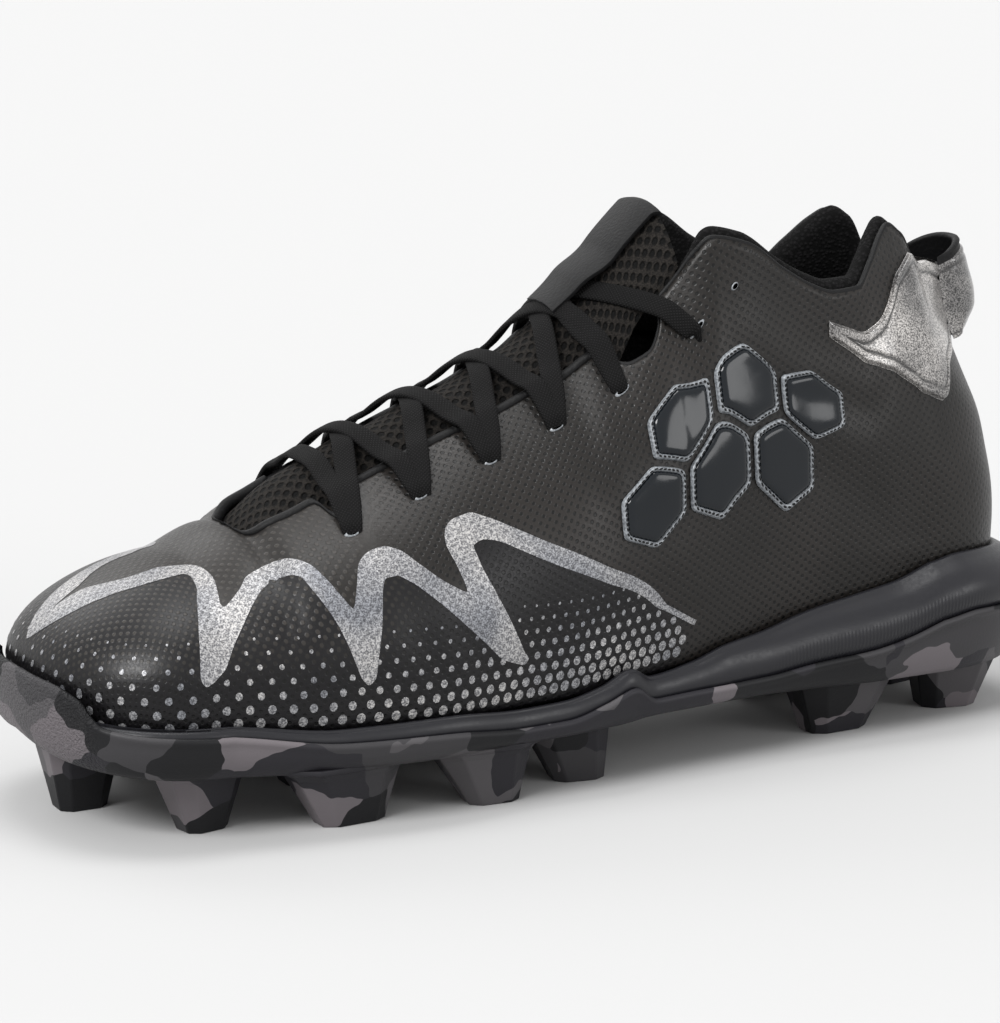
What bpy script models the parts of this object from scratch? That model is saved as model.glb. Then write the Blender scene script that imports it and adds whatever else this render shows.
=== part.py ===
# Left mid-cut field boot with moulded studs: sole, hollow upper, tongue, laces and trims
import math

import bmesh
import bpy
import numpy as np

# Overall sizes of the shoe, in metres
LENGTH = 0.302
BALL_WIDTH = 0.102
HEEL_WIDTH = 0.072
COLLAR_WIDTH = 0.060
TOE_REACH = 0.0388
HEEL_REACH = 0.0350
TOE_SHIFT = 0.005
# Heights: ground to plate, plate to heel rim, plate to instep, instep to ankle peak
STUD_LENGTH = 0.0165
SOLE_HEIGHT = 0.033
INSTEP_RISE = 0.0925
ANKLE_RISE = 0.0325
# Walls and thicknesses
WALL = 0.0020
PLATE = 0.0025
RIM_WALL = 0.0020
LIP_WALL = 0.0016
LIP_HEIGHT = 0.0012
CAP_HEIGHT = 0.0090
INSOLE = 0.0030
TONGUE_PAD = 0.0045
ROLL_PAD = 0.0065
ROLL_RISE = 0.0032
BINDING_WIDTH = 0.0022
BINDING_WALL = 0.0013
BADGE_WALL = 0.0009
BADGE_HEX = 0.0125
OVERLAY_WALL = 0.0014
BAND_WIDTH = 0.0200
BAND_WALL = 0.0012
LACE_WIDTH = 0.0056
LACE_WALL = 0.0015
LOOP_WALL = 0.0016
# Clearance between two pieces that touch
GAP = 0.0003
CUP_GAP = 0.0005
CAP_GAP = 0.0014
TONGUE_GAP = 0.0013
ROLL_GAP = 0.0009
BADGE_GAP = 0.0005
LACE_LIFT = 0.0018

# Places along the shoe as shares of its length, from the toe
TOE_AT = 0.139
HEEL_AT = 0.848
THROAT_AT = 0.195
CORNER_AT = 0.630
WAIST = (0.45, 0.75)
ROUNDNESS = 2.35
FAN = 5

# Half widths at the widest line, shares of half the ball width or heel width
OUTLINE = {
    "at": (0.139, 0.225, 0.325, 0.424, 0.523, 0.623, 0.722, 0.848),
    "lateral": (0.845, 0.950, 0.995, 0.945, 0.930, 0.985, 1.000, 0.945),
    "medial": (0.865, 0.950, 0.945, 0.800, 0.755, 0.820, 0.890, 0.925),
}
# Heights of the widest line, and how full the side stands over it
BODY = {
    "at": (0.000, 0.070, 0.139, 0.225, 0.325, 0.424, 0.523, 0.623, 0.722, 0.848, 1.000),
    "belly": (0.245, 0.250, 0.275, 0.265, 0.255, 0.275, 0.330, 0.370, 0.400, 0.420, 0.420),
    "low": (0.400, 0.420, 0.440, 0.440, 0.420, 0.420, 0.460, 0.500, 0.520, 0.520, 0.520),
    "top": (0.480, 0.480, 0.480, 0.480, 0.460, 0.440, 0.420, 0.400, 0.380, 0.360, 0.360),
    "tuck": (0.160, 0.160, 0.140, 0.130, 0.130, 0.140, 0.160, 0.180, 0.180, 0.180, 0.180),
}
# Top edge: half opening, rise over the plate, lean from upright, share kept at the notches
EDGE = {
    "at": (0.000, 0.139, 0.195, 0.202, 0.2185, 0.238, 0.258, 0.263, 0.268, 0.276, 0.281,
           0.305, 0.3675, 0.434, 0.490, 0.520, 0.537, 0.551, 0.566, 0.580, 0.588, 0.604,
           0.615, 0.6325, 0.6656, 0.702, 0.732, 0.755, 0.7815, 0.801, 0.821, 0.834, 0.848,
           0.880, 0.920, 0.960, 1.000),
    "half": (0.0, 0.0, 0.0, 0.340, 0.490, 0.525, 0.540, 0.545, 0.550, 0.555, 0.560,
             0.570, 0.600, 0.630, 0.670, 0.700, 0.710, 0.720, 0.735, 0.750, 0.760, 0.790,
             0.830, 0.900, 0.965, 0.983, 0.983, 0.975, 0.925, 0.817, 0.667, 0.583, 0.550,
             0.517, 0.550, 0.630, 0.700),
    "instep": (0.549, 0.549, 0.611, 0.606, 0.638, 0.662, 0.690, 0.696, 0.702, 0.710, 0.717,
               0.745, 0.828, 0.905, 0.980, 1.0, 1.0, 1.0, 1.0, 1.0, 1.0, 1.0,
               1.0, 1.0, 1.0, 1.0, 1.0, 1.0, 1.0, 1.0, 1.0, 1.0, 1.0,
               1.0, 1.0, 1.0, 1.0),
    "ankle": (0.0, 0.0, 0.0, 0.0, 0.0, 0.0, 0.0, 0.0, 0.0, 0.0, 0.0,
              0.0, 0.0, 0.0, 0.0, 0.110, 0.210, 0.310, 0.420, 0.510, 0.570, 0.735,
              0.880, 1.030, 0.960, 0.720, 0.560, 0.490, 0.500, 0.680, 0.890, 0.970, 0.890,
              0.646, 0.490, 0.430, 0.415),
    "lean": (90, 90, 90, 78, 70, 68, 66, 66, 66, 65, 65,
             62, 58, 52, 47, 45, 43, 41, 37, 32, 28, 21,
             16, 10, 6, 4, 3, 3, 6, 12, 17, 18, 18,
             16, 12, 8, 8),
    "trim": (1.0, 1.0, 1.0, 1.0, 1.0, 1.0, 1.0, 0.960, 0.880, 0.930, 1.0,
             1.0, 1.0, 1.0, 1.0, 1.0, 0.930, 0.880, 0.870, 0.920, 1.0, 1.0,
             1.0, 1.0, 1.0, 1.0, 1.0, 1.0, 1.0, 1.0, 1.0, 1.0, 1.0,
             1.0, 1.0, 1.0, 1.0),
}
# Lines round the sole as shares of the sole height over the plate
RIMS = {
    "at": (0.000, 0.050, 0.150, 0.240, 0.330, 0.410, 0.447, 0.487, 0.515, 0.540, 0.586,
           0.620, 0.660, 0.710, 0.770, 0.810, 0.845, 0.868, 1.000),
    "rim": (0.620, 0.515, 0.433, 0.340, 0.345, 0.290, 0.300, 0.379, 0.485, 0.379, 0.439,
            0.530, 0.576, 0.682, 0.773, 0.833, 0.940, 1.000, 0.880),
    "seam": (0.500, 0.440, 0.320, 0.200, 0.180, 0.110, 0.115, 0.210, 0.300, 0.165, 0.176,
             0.180, 0.185, 0.230, 0.270, 0.340, 0.440, 0.500, 0.400),
}
FLOORS = {
    "at": (0.000, 0.050, 0.139, 0.240, 0.330, 0.450, 0.540, 0.620, 0.710, 0.800, 1.000),
    "bed": (0.330, 0.310, 0.235, 0.195, 0.176, 0.176, 0.220, 0.305, 0.385, 0.435, 0.455),
    "under": (0.220, 0.120, 0.030, 0.000, 0.000, 0.000, 0.040, 0.050, 0.030, 0.010, 0.030),
    "flare": (0.040, 0.040, 0.040, 0.040, 0.040, 0.040, 0.055, 0.070, 0.110, 0.150, 0.200),
    "bulge": (0.030, 0.030, 0.030, 0.030, 0.030, 0.030, 0.040, 0.060, 0.110, 0.150, 0.190),
}
# Toe cap of the outsole, share of its height that stands over the seam
TOE_CAP = {
    "at": (0.000, 0.040, 0.058, 0.075, 0.100),
    "cap": (1.000, 0.950, 0.700, 0.080, 0.000),
}
# Tongue ridge over the plate, and its half width as a share of half the collar width
TONGUE = {
    "at": (0.160, 0.195, 0.204, 0.2185, 0.238, 0.268, 0.305, 0.3675, 0.434, 0.490, 0.510,
           0.560, 0.607),
    "ridge": (0.515, 0.572, 0.585, 0.635, 0.692, 0.755, 0.805, 0.880, 0.965, 1.060, 1.110,
              1.285, 1.435),
    "half": (0.600, 0.800, 0.850, 0.880, 0.900, 0.900, 0.900, 0.900, 0.900, 0.880, 0.850,
             0.700, 0.560),
}
# Stud centres: along the length, across half the ball width, base and tip sizes, lean
CORNER_CUT = 1.75
STUDS = (
    ("at", "across", "long", "wide", "tip_long", "tip_wide", "lean", "turn"),
    (0.064, 0.130, 0.022, 0.021, 0.013, 0.011, 0.000, 0),
    (0.132, -0.520, 0.024, 0.019, 0.012, 0.010, 0.001, 12),
    (0.144, 0.660, 0.024, 0.019, 0.012, 0.010, 0.001, -12),
    (0.246, -0.750, 0.032, 0.019, 0.018, 0.010, 0.003, 4),
    (0.256, 0.760, 0.032, 0.019, 0.018, 0.010, 0.003, -4),
    (0.262, 0.000, 0.022, 0.019, 0.013, 0.011, 0.002, 0),
    (0.376, -0.760, 0.028, 0.019, 0.014, 0.010, 0.004, -4),
    (0.362, 0.720, 0.028, 0.019, 0.014, 0.010, 0.004, 6),
    (0.474, -0.600, 0.024, 0.018, 0.014, 0.010, 0.004, -8),
    (0.456, 0.540, 0.024, 0.018, 0.014, 0.010, 0.004, 10),
    (0.778, -0.430, 0.034, 0.019, 0.018, 0.011, -0.002, 3),
    (0.778, 0.400, 0.034, 0.019, 0.018, 0.011, -0.002, -3),
    (0.916, -0.300, 0.026, 0.020, 0.016, 0.012, -0.002, -12),
    (0.916, 0.300, 0.026, 0.020, 0.016, 0.012, -0.002, 12),
)
# Eyelets: along the length, and across as a share of half the ball width
EYELETS = {
    "at": (0.274, 0.341, 0.409, 0.473, 0.535, 0.611),
    "across": (0.600, 0.580, 0.570, 0.570, 0.600, 0.590),
}
# Silver heel panel: lower and upper edges as shares of the curve from belly to top edge
HEEL_PANEL = {
    "at": (0.750, 0.775, 0.801, 0.821, 0.836, 0.848, 0.860, 0.878, 0.909, 0.939, 0.970, 1.000),
    "low": (0.840, 0.730, 0.590, 0.510, 0.460, 0.420, 0.390, 0.400, 0.450, 0.500, 0.550, 0.580),
    "high": (0.890, 0.830, 0.780, 0.780, 0.820, 0.880, 0.940, 0.950, 0.950, 0.950, 0.950, 0.950),
}
# Finger loop round the back of the heel panel: where it starts, how far it stands off
LOOP_FROM = 0.965
LOOP_STEPS = 13
LOOP_REACH = 0.0085
LOOP_LADDER = {
    "share": (0.660, 0.800, 0.930),
    "out": (0.0, 1.20, 1.00),
}
# Tongue band: its two ends along the shoe, and where it comes down from the lace keeper
BAND_AT = (0.497, 0.605)
KEEPER_AT = (0.545, 0.580)
KEEPER_RISE = 0.0020
LAST_CROSSING = 0.520
SPAN_RISE = 0.0036
# Side badge: honeycomb cells by column and row
BADGE_CELLS = ((0, 0), (1, 0), (2, 0), (0, 1), (1, 1), (2, 1))
BADGE_AT = 0.545
BADGE_RISE = 0.330
BADGE_SPAN = 0.075
BADGE_SLOPE = 0.350
BINDING_TO = 0.594


def column(table, name, at):
    """Smooth curve through one column of a table, without overshoot between its rows."""
    x = np.array(table["at"], float)
    y = np.array(table[name], float)
    steps = np.diff(x)
    slopes = np.diff(y) / steps
    left, right = slopes[:-1], slopes[1:]
    same = left * right > 0
    mean = np.where(same, 2 * left * right / np.where(same, left + right, 1), 0)
    tangent = np.concatenate([[slopes[0]], mean, [slopes[-1]]])
    at = np.clip(at, x[0], x[-1])
    k = np.clip(np.searchsorted(x, at, side="right") - 1, 0, len(x) - 2)
    u = (at - x[k]) / steps[k]
    a = y[k] * (2 * u ** 3 - 3 * u ** 2 + 1) + y[k + 1] * (3 * u ** 2 - 2 * u ** 3)
    b = tangent[k] * (u ** 3 - 2 * u ** 2 + u) + tangent[k + 1] * (u ** 3 - u ** 2)
    return a + b * steps[k]


def smooth_step(value, low, high):
    """Rise from 0 to 1 between two limits with level ends."""
    u = np.clip((value - low) / (high - low), 0, 1)
    return u * u * (3 - 2 * u)


def bezier(a, b, c, d, t):
    """Point of a cubic curve at share t."""
    s = 1 - t
    return a * s ** 3 + 3 * b * s * s * t + 3 * c * s * t * t + d * t ** 3


class Ring:
    """Stations round the shoe: one upright half plane for each, from the spine outwards."""

    def __init__(self, side_at):
        turn = np.linspace(0, 1, FAN + 1)
        side_at = np.array(side_at, float)
        toe = turn[:0:-1]
        heel = turn[1:]
        at = np.concatenate([TOE_AT * (1 - toe), side_at, HEEL_AT + (1 - HEEL_AT) * heel])
        toe_turn = np.concatenate([toe, 0 * side_at, 0 * heel])
        heel_turn = np.concatenate([0 * toe, 0 * side_at, heel])
        n = len(at)
        back = slice(n - 2, 0, -1)
        self.at = np.concatenate([at, at[back]])
        self.side = np.concatenate([-np.ones(n), np.ones(n - 2)])
        self.toe_turn = np.concatenate([toe_turn, toe_turn[back]])
        self.heel_turn = np.concatenate([heel_turn, heel_turn[back]])
        self.place()

    def select(self, at_low, side=None):
        """Indices of the stations behind a place on one side, or round the heel."""
        keep = self.at >= at_low
        if side is not None:
            keep &= self.side == side
        return np.nonzero(keep)[0]

    def place(self):
        inner = np.clip(self.at, TOE_AT, HEEL_AT)
        blend = smooth_step(inner, *WAIST)
        width = BALL_WIDTH + (HEEL_WIDTH - BALL_WIDTH) * blend
        shares = np.where(self.side < 0, column(OUTLINE, "lateral", inner),
                          column(OUTLINE, "medial", inner))
        half = shares * width / 2 * self.side
        power = 2 / ROUNDNESS
        turn = (self.toe_turn + self.heel_turn) * math.pi / 2
        ahead = np.sin(turn) ** power
        beside = np.cos(turn) ** power
        self.x = inner * LENGTH - LENGTH / 2
        toe = self.toe_turn > 0
        shift = np.where(toe, TOE_SHIFT, 0)
        dx = np.where(toe, -TOE_REACH, HEEL_REACH) * ahead
        dy = shift + (half - shift) * beside
        self.reach = np.hypot(dx, dy)
        self.dir = np.stack([dx, dy], 1) / self.reach[:, None]

    def point(self, reach, z):
        """Points at a reach from the spine and a height, one for each station."""
        reach = np.broadcast_to(reach, self.x.shape)
        z = np.broadcast_to(z, self.x.shape)
        return np.stack([self.x + self.dir[:, 0] * reach, self.dir[:, 1] * reach, z], 1)


def sole_level(name, table, at):
    """Height of a sole line over the ground."""
    return STUD_LENGTH + column(table, name, at) * SOLE_HEIGHT


def ridge_height(at):
    """Height of the vamp ridge or the top edge over the ground."""
    rise = column(EDGE, "instep", at) * INSTEP_RISE + column(EDGE, "ankle", at) * ANKLE_RISE
    return STUD_LENGTH + rise


def side_curves(ring):
    """Control points of the lower and the upper curve of the side at each station."""
    at = ring.at
    bed = sole_level("bed", FLOORS, at) + CUP_GAP
    belly = STUD_LENGTH + column(BODY, "belly", at) * INSTEP_RISE
    tuck = ring.reach * (1 - column(BODY, "tuck", at))
    low = ((tuck, bed), (tuck + (ring.reach - tuck) * 0.75, bed),
           (ring.reach, bed + (belly - bed) * 0.45), (ring.reach, belly))
    top_reach = column(EDGE, "half", at) * COLLAR_WIDTH / 2
    top = ridge_height(at)
    lean = np.radians(column(EDGE, "lean", at))
    span = np.hypot(ring.reach - top_reach, top - belly)
    pull = column(BODY, "top", at) * span
    step = 0.012
    pole = TOE_AT + step
    slope = (ridge_height(pole) - ridge_height(TOE_AT)) / (step * LENGTH)
    fall = np.where(ring.toe_turn > 0, ring.dir[:, 0] * slope, 0)
    high = ((ring.reach, belly),
            (ring.reach, belly + (top - belly) * column(BODY, "low", at)),
            (top_reach + pull * np.sin(lean), top - pull * np.cos(lean) + fall * pull),
            (top_reach, top))
    return low, high


def side_point(curve, t, offset):
    """Reach and height at share t of a curve, moved outwards by an offset."""
    t = np.asarray(t, float)
    r = bezier(*(p[0] for p in curve), t)
    z = bezier(*(p[1] for p in curve), t)
    e = 0.01
    ta, tb = np.clip(t - e, 0, 1), np.clip(t + e, 0, 1)
    dr = bezier(*(p[0] for p in curve), tb) - bezier(*(p[0] for p in curve), ta)
    dz = bezier(*(p[1] for p in curve), tb) - bezier(*(p[1] for p in curve), ta)
    size = np.hypot(dr, dz)
    return r + offset * dz / size, z - offset * dr / size


def low_share(ring, low, height):
    """Share of the lower curve at which the side reaches a height."""
    t = np.linspace(0, 1, 41)
    shares = []
    for k in range(len(ring.at)):
        z = bezier(*(p[1][k] for p in low), t)
        shares.append(np.interp(height[k], z, t))
    return np.array(shares)


def make_mesh(name, points, faces, material):
    """Object from points and faces, with doubles merged and faces pointing out."""
    mesh = bpy.data.meshes.new(name)
    mesh.from_pydata([tuple(p) for p in points], [], faces)
    work = bmesh.new()
    work.from_mesh(mesh)
    bmesh.ops.remove_doubles(work, verts=work.verts, dist=1e-6)
    bmesh.ops.dissolve_degenerate(work, edges=work.edges, dist=1e-6)
    bmesh.ops.recalc_face_normals(work, faces=work.faces)
    work.to_mesh(mesh)
    work.free()
    mesh.materials.append(material)
    mesh.shade_smooth()
    mesh.set_sharp_from_angle(angle=math.radians(35))
    item = bpy.data.objects.new(name, mesh)
    PARTS.objects.link(item)
    return item


def rows_mesh(name, rows, material, round_rows=True, round_stations=True, caps=False):
    """Loft through rows of points: each row has one point for each station."""
    count = len(rows)
    n = len(rows[0])
    points = np.concatenate(rows)
    faces = []
    for i in range(count if round_rows else count - 1):
        j = (i + 1) % count
        for k in range(n if round_stations else n - 1):
            m = (k + 1) % n
            faces.append((i * n + k, i * n + m, j * n + m, j * n + k))
    if caps:
        faces.append([i * n for i in range(count)])
        faces.append([i * n + n - 1 for i in reversed(range(count))])
    return make_mesh(name, points, faces, material)


def thicken(item, thickness):
    """Shell of an open surface, grown to the inner side of its faces."""
    shell = item.modifiers.new("wall", "SOLIDIFY")
    shell.thickness = thickness
    shell.offset = -1
    shell.use_even_offset = True
    shell.use_rim = True
    return item


def material(name, color, roughness, metallic=0.0):
    """Material with a flat colour, roughness and metallic value."""
    item = bpy.data.materials.new(name)
    item.use_nodes = True
    shader = item.node_tree.nodes["Principled BSDF"]
    shader.inputs["Base Color"].default_value = (*color, 1)
    shader.inputs["Roughness"].default_value = roughness
    shader.inputs["Metallic"].default_value = metallic
    item.diffuse_color = (*color, 1)
    return item


for old in list(bpy.data.objects):
    bpy.data.objects.remove(old)
PARTS = bpy.data.collections.new("field_boot")
bpy.context.scene.collection.children.link(PARTS)
CUTTERS = bpy.data.collections.new("cutters")
bpy.context.scene.collection.children.link(CUTTERS)

RUBBER = material("outsole_rubber", (0.090, 0.088, 0.092), 0.45)
FOAM = material("midsole_foam", (0.012, 0.012, 0.014), 0.35)
LINING = material("lining_textile", (0.010, 0.010, 0.011), 0.90)
SKIN = material("upper_synthetic", (0.035, 0.032, 0.031), 0.48)
MESH = material("tongue_mesh", (0.014, 0.013, 0.012), 0.85)
TAPE = material("webbing", (0.012, 0.012, 0.013), 0.70)
GLOSS = material("gloss_film", (0.020, 0.026, 0.034), 0.12)
SILVER = material("silver_film", (0.320, 0.310, 0.300), 0.35, 0.4)
LACING = material("lace_cord", (0.013, 0.013, 0.014), 0.80)

SIDE_AT = (0.139, 0.167, 0.195, 0.204, 0.2185, 0.238, 0.258, 0.268, 0.281, 0.310, 0.352,
           0.393, 0.434, 0.490, 0.520, 0.537, 0.551, 0.566, 0.580, 0.592, 0.606, 0.6325,
           0.6656, 0.702, 0.732, 0.755, 0.7815, 0.801, 0.821, 0.836, 0.848)
ring = Ring(SIDE_AT)
LOW, HIGH = side_curves(ring)
RIM_Z = sole_level("rim", RIMS, ring.at)
RIM_SHARE = low_share(ring, LOW, RIM_Z)
CUP_ROWS = (0.0, 0.35, 0.7, 1.0)
INNER_AT = np.clip(ring.at, TOE_AT, HEEL_AT)


def build_upper():
    trim = column(EDGE, "trim", ring.at)
    rows = [ring.point(*side_point(LOW, k * RIM_SHARE, 0)) for k in CUP_ROWS]
    rows += [ring.point(*side_point(HIGH, t * trim, 0))
             for t in (0, 0.20, 0.40, 0.58, 0.74, 0.88, 1.0)]
    item = rows_mesh("upper", rows, SKIN, round_rows=False)
    return thicken(item, WALL)


def sole_rims():
    """Levels and reaches shared by the midsole and the outsole."""
    at = ring.at
    seam = sole_level("seam", RIMS, at)
    under = sole_level("under", FLOORS, at)
    flare = column(FLOORS, "flare", at) * SOLE_HEIGHT
    bulge = column(FLOORS, "bulge", at) * SOLE_HEIGHT
    inner = side_point(LOW, RIM_SHARE, CUP_GAP)[0]
    top_out = inner + RIM_WALL
    seam_out = top_out + flare - 0.0005
    middle_out = (top_out + seam_out) / 2 + bulge
    return dict(seam=seam, under=under, inner=inner, top_out=top_out, seam_out=seam_out,
                middle_out=middle_out, plate_top=under + PLATE)


def spine_level(name, table):
    """Height of a sole line along the spine, level round each end's pole."""
    return sole_level(name, table, INNER_AT)


def build_midsole():
    s = sole_rims()
    plate = spine_level("under", FLOORS) + PLATE + GAP
    rows = [ring.point(0, plate), ring.point(s["seam_out"] * 0.86, s["plate_top"] + GAP),
            ring.point(s["seam_out"], s["seam"]),
            ring.point(s["middle_out"], (s["seam"] + RIM_Z) / 2),
            ring.point(s["top_out"] + 0.0003, RIM_Z - 0.0012),
            ring.point(s["top_out"] - 0.0008, RIM_Z)]
    for k in reversed(CUP_ROWS):
        rows.append(ring.point(*side_point(LOW, RIM_SHARE * k, CUP_GAP)))
    rows.append(ring.point(0, spine_level("bed", FLOORS)))
    return rows_mesh("midsole", rows, FOAM, round_rows=False)


def cup_side(s, z):
    """Reach of the midsole's outer side at a height, between its seam and its rim."""
    middle = (s["seam"] + RIM_Z) / 2
    low = np.clip((z - s["seam"]) / (middle - s["seam"]), 0, 1)
    high = np.clip((z - middle) / (RIM_Z - 0.0012 - middle), 0, 1)
    reach = s["seam_out"] + (s["middle_out"] - s["seam_out"]) * low
    return reach + (s["top_out"] + 0.0003 - s["middle_out"]) * high


def build_outsole():
    s = sole_rims()
    cap = column(TOE_CAP, "cap", ring.at) * CAP_HEIGHT + LIP_HEIGHT
    cap_z = s["seam"] + cap
    tall = np.clip((cap_z - RIM_Z) / 0.003, 0, 1)
    middle = (s["seam"] + RIM_Z) / 2
    shoulder = RIM_Z - 0.0012
    first_z = np.where(cap_z > middle, middle, s["seam"] + cap * 0.33)
    second_z = np.where(cap_z > shoulder, shoulder,
                        np.where(cap_z > middle, (middle + cap_z) / 2, s["seam"] + cap * 0.66))
    first, second, third = (cup_side(s, z) for z in (first_z, second_z, cap_z))
    side = np.maximum(np.maximum(first, second), third)
    wall = LIP_WALL * (1 + 0.6 * tall)
    ease = np.where((ring.at < TOE_AT) & (ring.at > 0), CAP_GAP, GAP)
    under_out = s["seam_out"] * 0.94
    rows = [ring.point(0, spine_level("under", FLOORS) + PLATE),
            ring.point(s["seam_out"] * 0.86, s["plate_top"]),
            ring.point(s["seam_out"] + GAP, s["seam"] - GAP),
            ring.point(first + ease, first_z),
            ring.point(second + ease, second_z),
            ring.point(third + ease, cap_z),
            ring.point(side + wall * 0.7, cap_z + 0.0002),
            ring.point(side + wall, cap_z - 0.001),
            ring.point(s["seam_out"] + LIP_WALL, s["seam"] - 0.001),
            ring.point((s["seam_out"] + LIP_WALL + under_out) / 2 + 0.0008,
                       (s["seam"] + s["under"]) / 2 - 0.001),
            ring.point(under_out, s["under"]),
            ring.point(0, spine_level("under", FLOORS))]
    plate = rows_mesh("outsole", rows, RUBBER, round_rows=False)
    names = STUDS[0]
    for k, row in enumerate(STUDS[1:]):
        stud = dict(zip(names, row))
        cutter = build_stud("stud_shape_%d" % (k + 1), stud)
        union = plate.modifiers.new("stud_%d" % (k + 1), "BOOLEAN")
        union.operation = "UNION"
        union.object = cutter
    return plate


def plate_level(x, y):
    """Height of the plate's underside at a point of its plan."""
    at = x / LENGTH + 0.5
    inner = min(max(at, TOE_AT), HEEL_AT)
    spine = sole_level("under", FLOORS, inner)
    dx = (at - inner) * LENGTH
    turn = math.atan2(abs(dx), abs(y) + 1e-9) / (math.pi / 2)
    if dx < 0:
        edge = sole_level("under", FLOORS, TOE_AT * (1 - turn))
        reach = TOE_REACH
    else:
        edge = sole_level("under", FLOORS, HEEL_AT + (1 - HEEL_AT) * turn)
        reach = HEEL_REACH
    return float(spine + (edge - spine) * min(1, math.hypot(dx, y) / reach) * (dx != 0))


def build_stud(name, stud):
    """Tapered stud with cut corners, from inside the plate down to the ground."""
    work = bmesh.new()
    bmesh.ops.create_cone(work, cap_ends=True, segments=8, radius1=1, radius2=1, depth=1)
    turn = math.radians(stud["turn"])
    x0 = stud["at"] * LENGTH - LENGTH / 2
    y0 = stud["across"] * BALL_WIDTH / 2
    for v in work.verts:
        angle = math.atan2(v.co.y, v.co.x) + math.pi / 8
        cx = max(-1, min(1, CORNER_CUT * math.cos(angle)))
        cy = max(-1, min(1, CORNER_CUT * math.sin(angle)))
        base = v.co.z > 0
        long = stud["long"] if base else stud["tip_long"]
        wide = stud["wide"] if base else stud["tip_wide"]
        px = cx * long / 2 + (0 if base else stud["lean"])
        py = cy * wide / 2
        v.co.x = x0 + px * math.cos(turn) - py * math.sin(turn)
        v.co.y = y0 + px * math.sin(turn) + py * math.cos(turn)
        v.co.z = plate_level(v.co.x, v.co.y) + PLATE * 0.5 if base else 0
    bmesh.ops.recalc_face_normals(work, faces=work.faces)
    mesh = bpy.data.meshes.new(name)
    work.to_mesh(mesh)
    work.free()
    mesh.materials.append(RUBBER)
    item = bpy.data.objects.new(name, mesh)
    CUTTERS.objects.link(item)
    item.hide_render = True
    item.display_type = "WIRE"
    return item


def build_insole():
    edge = LOW[0][0] - WALL * 0.8 - GAP
    base = sole_level("bed", FLOORS, ring.at) + GAP
    spine = spine_level("bed", FLOORS) + GAP
    rows = [ring.point(0, spine), ring.point(edge, base),
            ring.point(edge, base + INSOLE * 0.7), ring.point(edge - 0.001, base + INSOLE),
            ring.point(0, spine + INSOLE)]
    return rows_mesh("insole", rows, LINING, round_rows=False)


class Cross:
    """Stations straight across the shoe, one on each side at the same place."""

    def __init__(self, at, side):
        self.at = np.atleast_1d(np.array(at, float))
        self.side = np.full(len(self.at), float(side))
        self.toe_turn = 0 * self.at
        self.heel_turn = 0 * self.at
        Ring.place(self)

    def point(self, reach, z):
        return Ring.point(self, reach, z)


def inner_height(cross, high, reach, offset):
    """Height of the side's surface at a reach from the spine, at each station."""
    t = np.linspace(0, 1, 60)
    heights = []
    samples = [side_point(high, np.full(len(cross.at), k), offset) for k in t]
    for k in range(len(cross.at)):
        r = np.array([p[0][k] for p in samples])[::-1]
        z = np.array([p[1][k] for p in samples])[::-1]
        heights.append(np.interp(reach[k], r, z))
    return np.array(heights)


def tongue_edge(cross):
    """Reach and height at which the tongue comes out from under the top edge."""
    high = side_curves(cross)[1]
    top_r, top_z = side_point(high, 1.0, -(WALL + TONGUE_GAP))
    return np.maximum(top_r, 0.008), top_z, high


def tongue_height(cross, reach):
    """Height of the tongue's outer face at a reach from the spine."""
    top_r, top_z, high = tongue_edge(cross)
    ridge = STUD_LENGTH + column(TONGUE, "ridge", cross.at) * INSTEP_RISE
    start = top_r - BINDING_WIDTH - GAP * 2
    arch = 1 - np.clip(reach / start, 0, 1) ** 2.2
    hidden = inner_height(cross, high, reach, -(WALL + TONGUE_GAP))
    return np.where(reach < top_r, top_z + (ridge - top_z) * arch, hidden)


def tongue_rows(at, offset):
    """Rows of the tongue's outer face, from the lateral edge over the ridge."""
    half = column(TONGUE, "half", at) * COLLAR_WIDTH / 2
    sides = []
    for side in (-1, 1):
        cross = Cross(at, side)
        top_r = tongue_edge(cross)[0]
        edge = np.minimum(top_r, half * 0.85)
        start = np.minimum(top_r - BINDING_WIDTH - GAP * 2, half * 0.65)
        rows = []
        for reach in (half, (edge + half) / 2, edge, start, start * 0.5):
            rows.append(cross.point(reach, tongue_height(cross, reach) + offset))
        sides.append(rows)
    cross = Cross(at, 1)
    centre = cross.point(0, tongue_height(cross, 0 * at) + offset)
    return sides[0] + [centre] + sides[1][::-1]


def build_tongue():
    at = np.array([k for k in SIDE_AT if k < 0.6] + [0.607])
    rows = tongue_rows(at[1:], 0)
    item = rows_mesh("tongue", rows, MESH, round_rows=False, round_stations=False)
    return thicken(item, TONGUE_PAD)


def build_band():
    """Smooth strap down the tongue's ridge, raised over the laces at its lower end."""
    at = np.linspace(*BAND_AT, 9)
    room = LACE_WALL + LACE_LIFT * 2 + KEEPER_RISE
    lift = room * (1 - smooth_step(at, *KEEPER_AT)) + GAP * 4
    ridge = column(TONGUE, "ridge", at) * INSTEP_RISE
    slope = np.gradient(ridge, at * LENGTH)
    lift = (lift + BAND_WALL) * np.hypot(1, slope)
    rows = []
    for share in (-1, -0.5, 0, 0.5, 1):
        cross = Cross(at, -1 if share < 0 else 1)
        reach = np.full(len(at), abs(share) * BAND_WIDTH / 2)
        rows.append(cross.point(reach, tongue_height(cross, reach) + lift))
    item = rows_mesh("tongue_band", rows, TAPE, round_rows=False, round_stations=False)
    return thicken(item, BAND_WALL)


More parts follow.
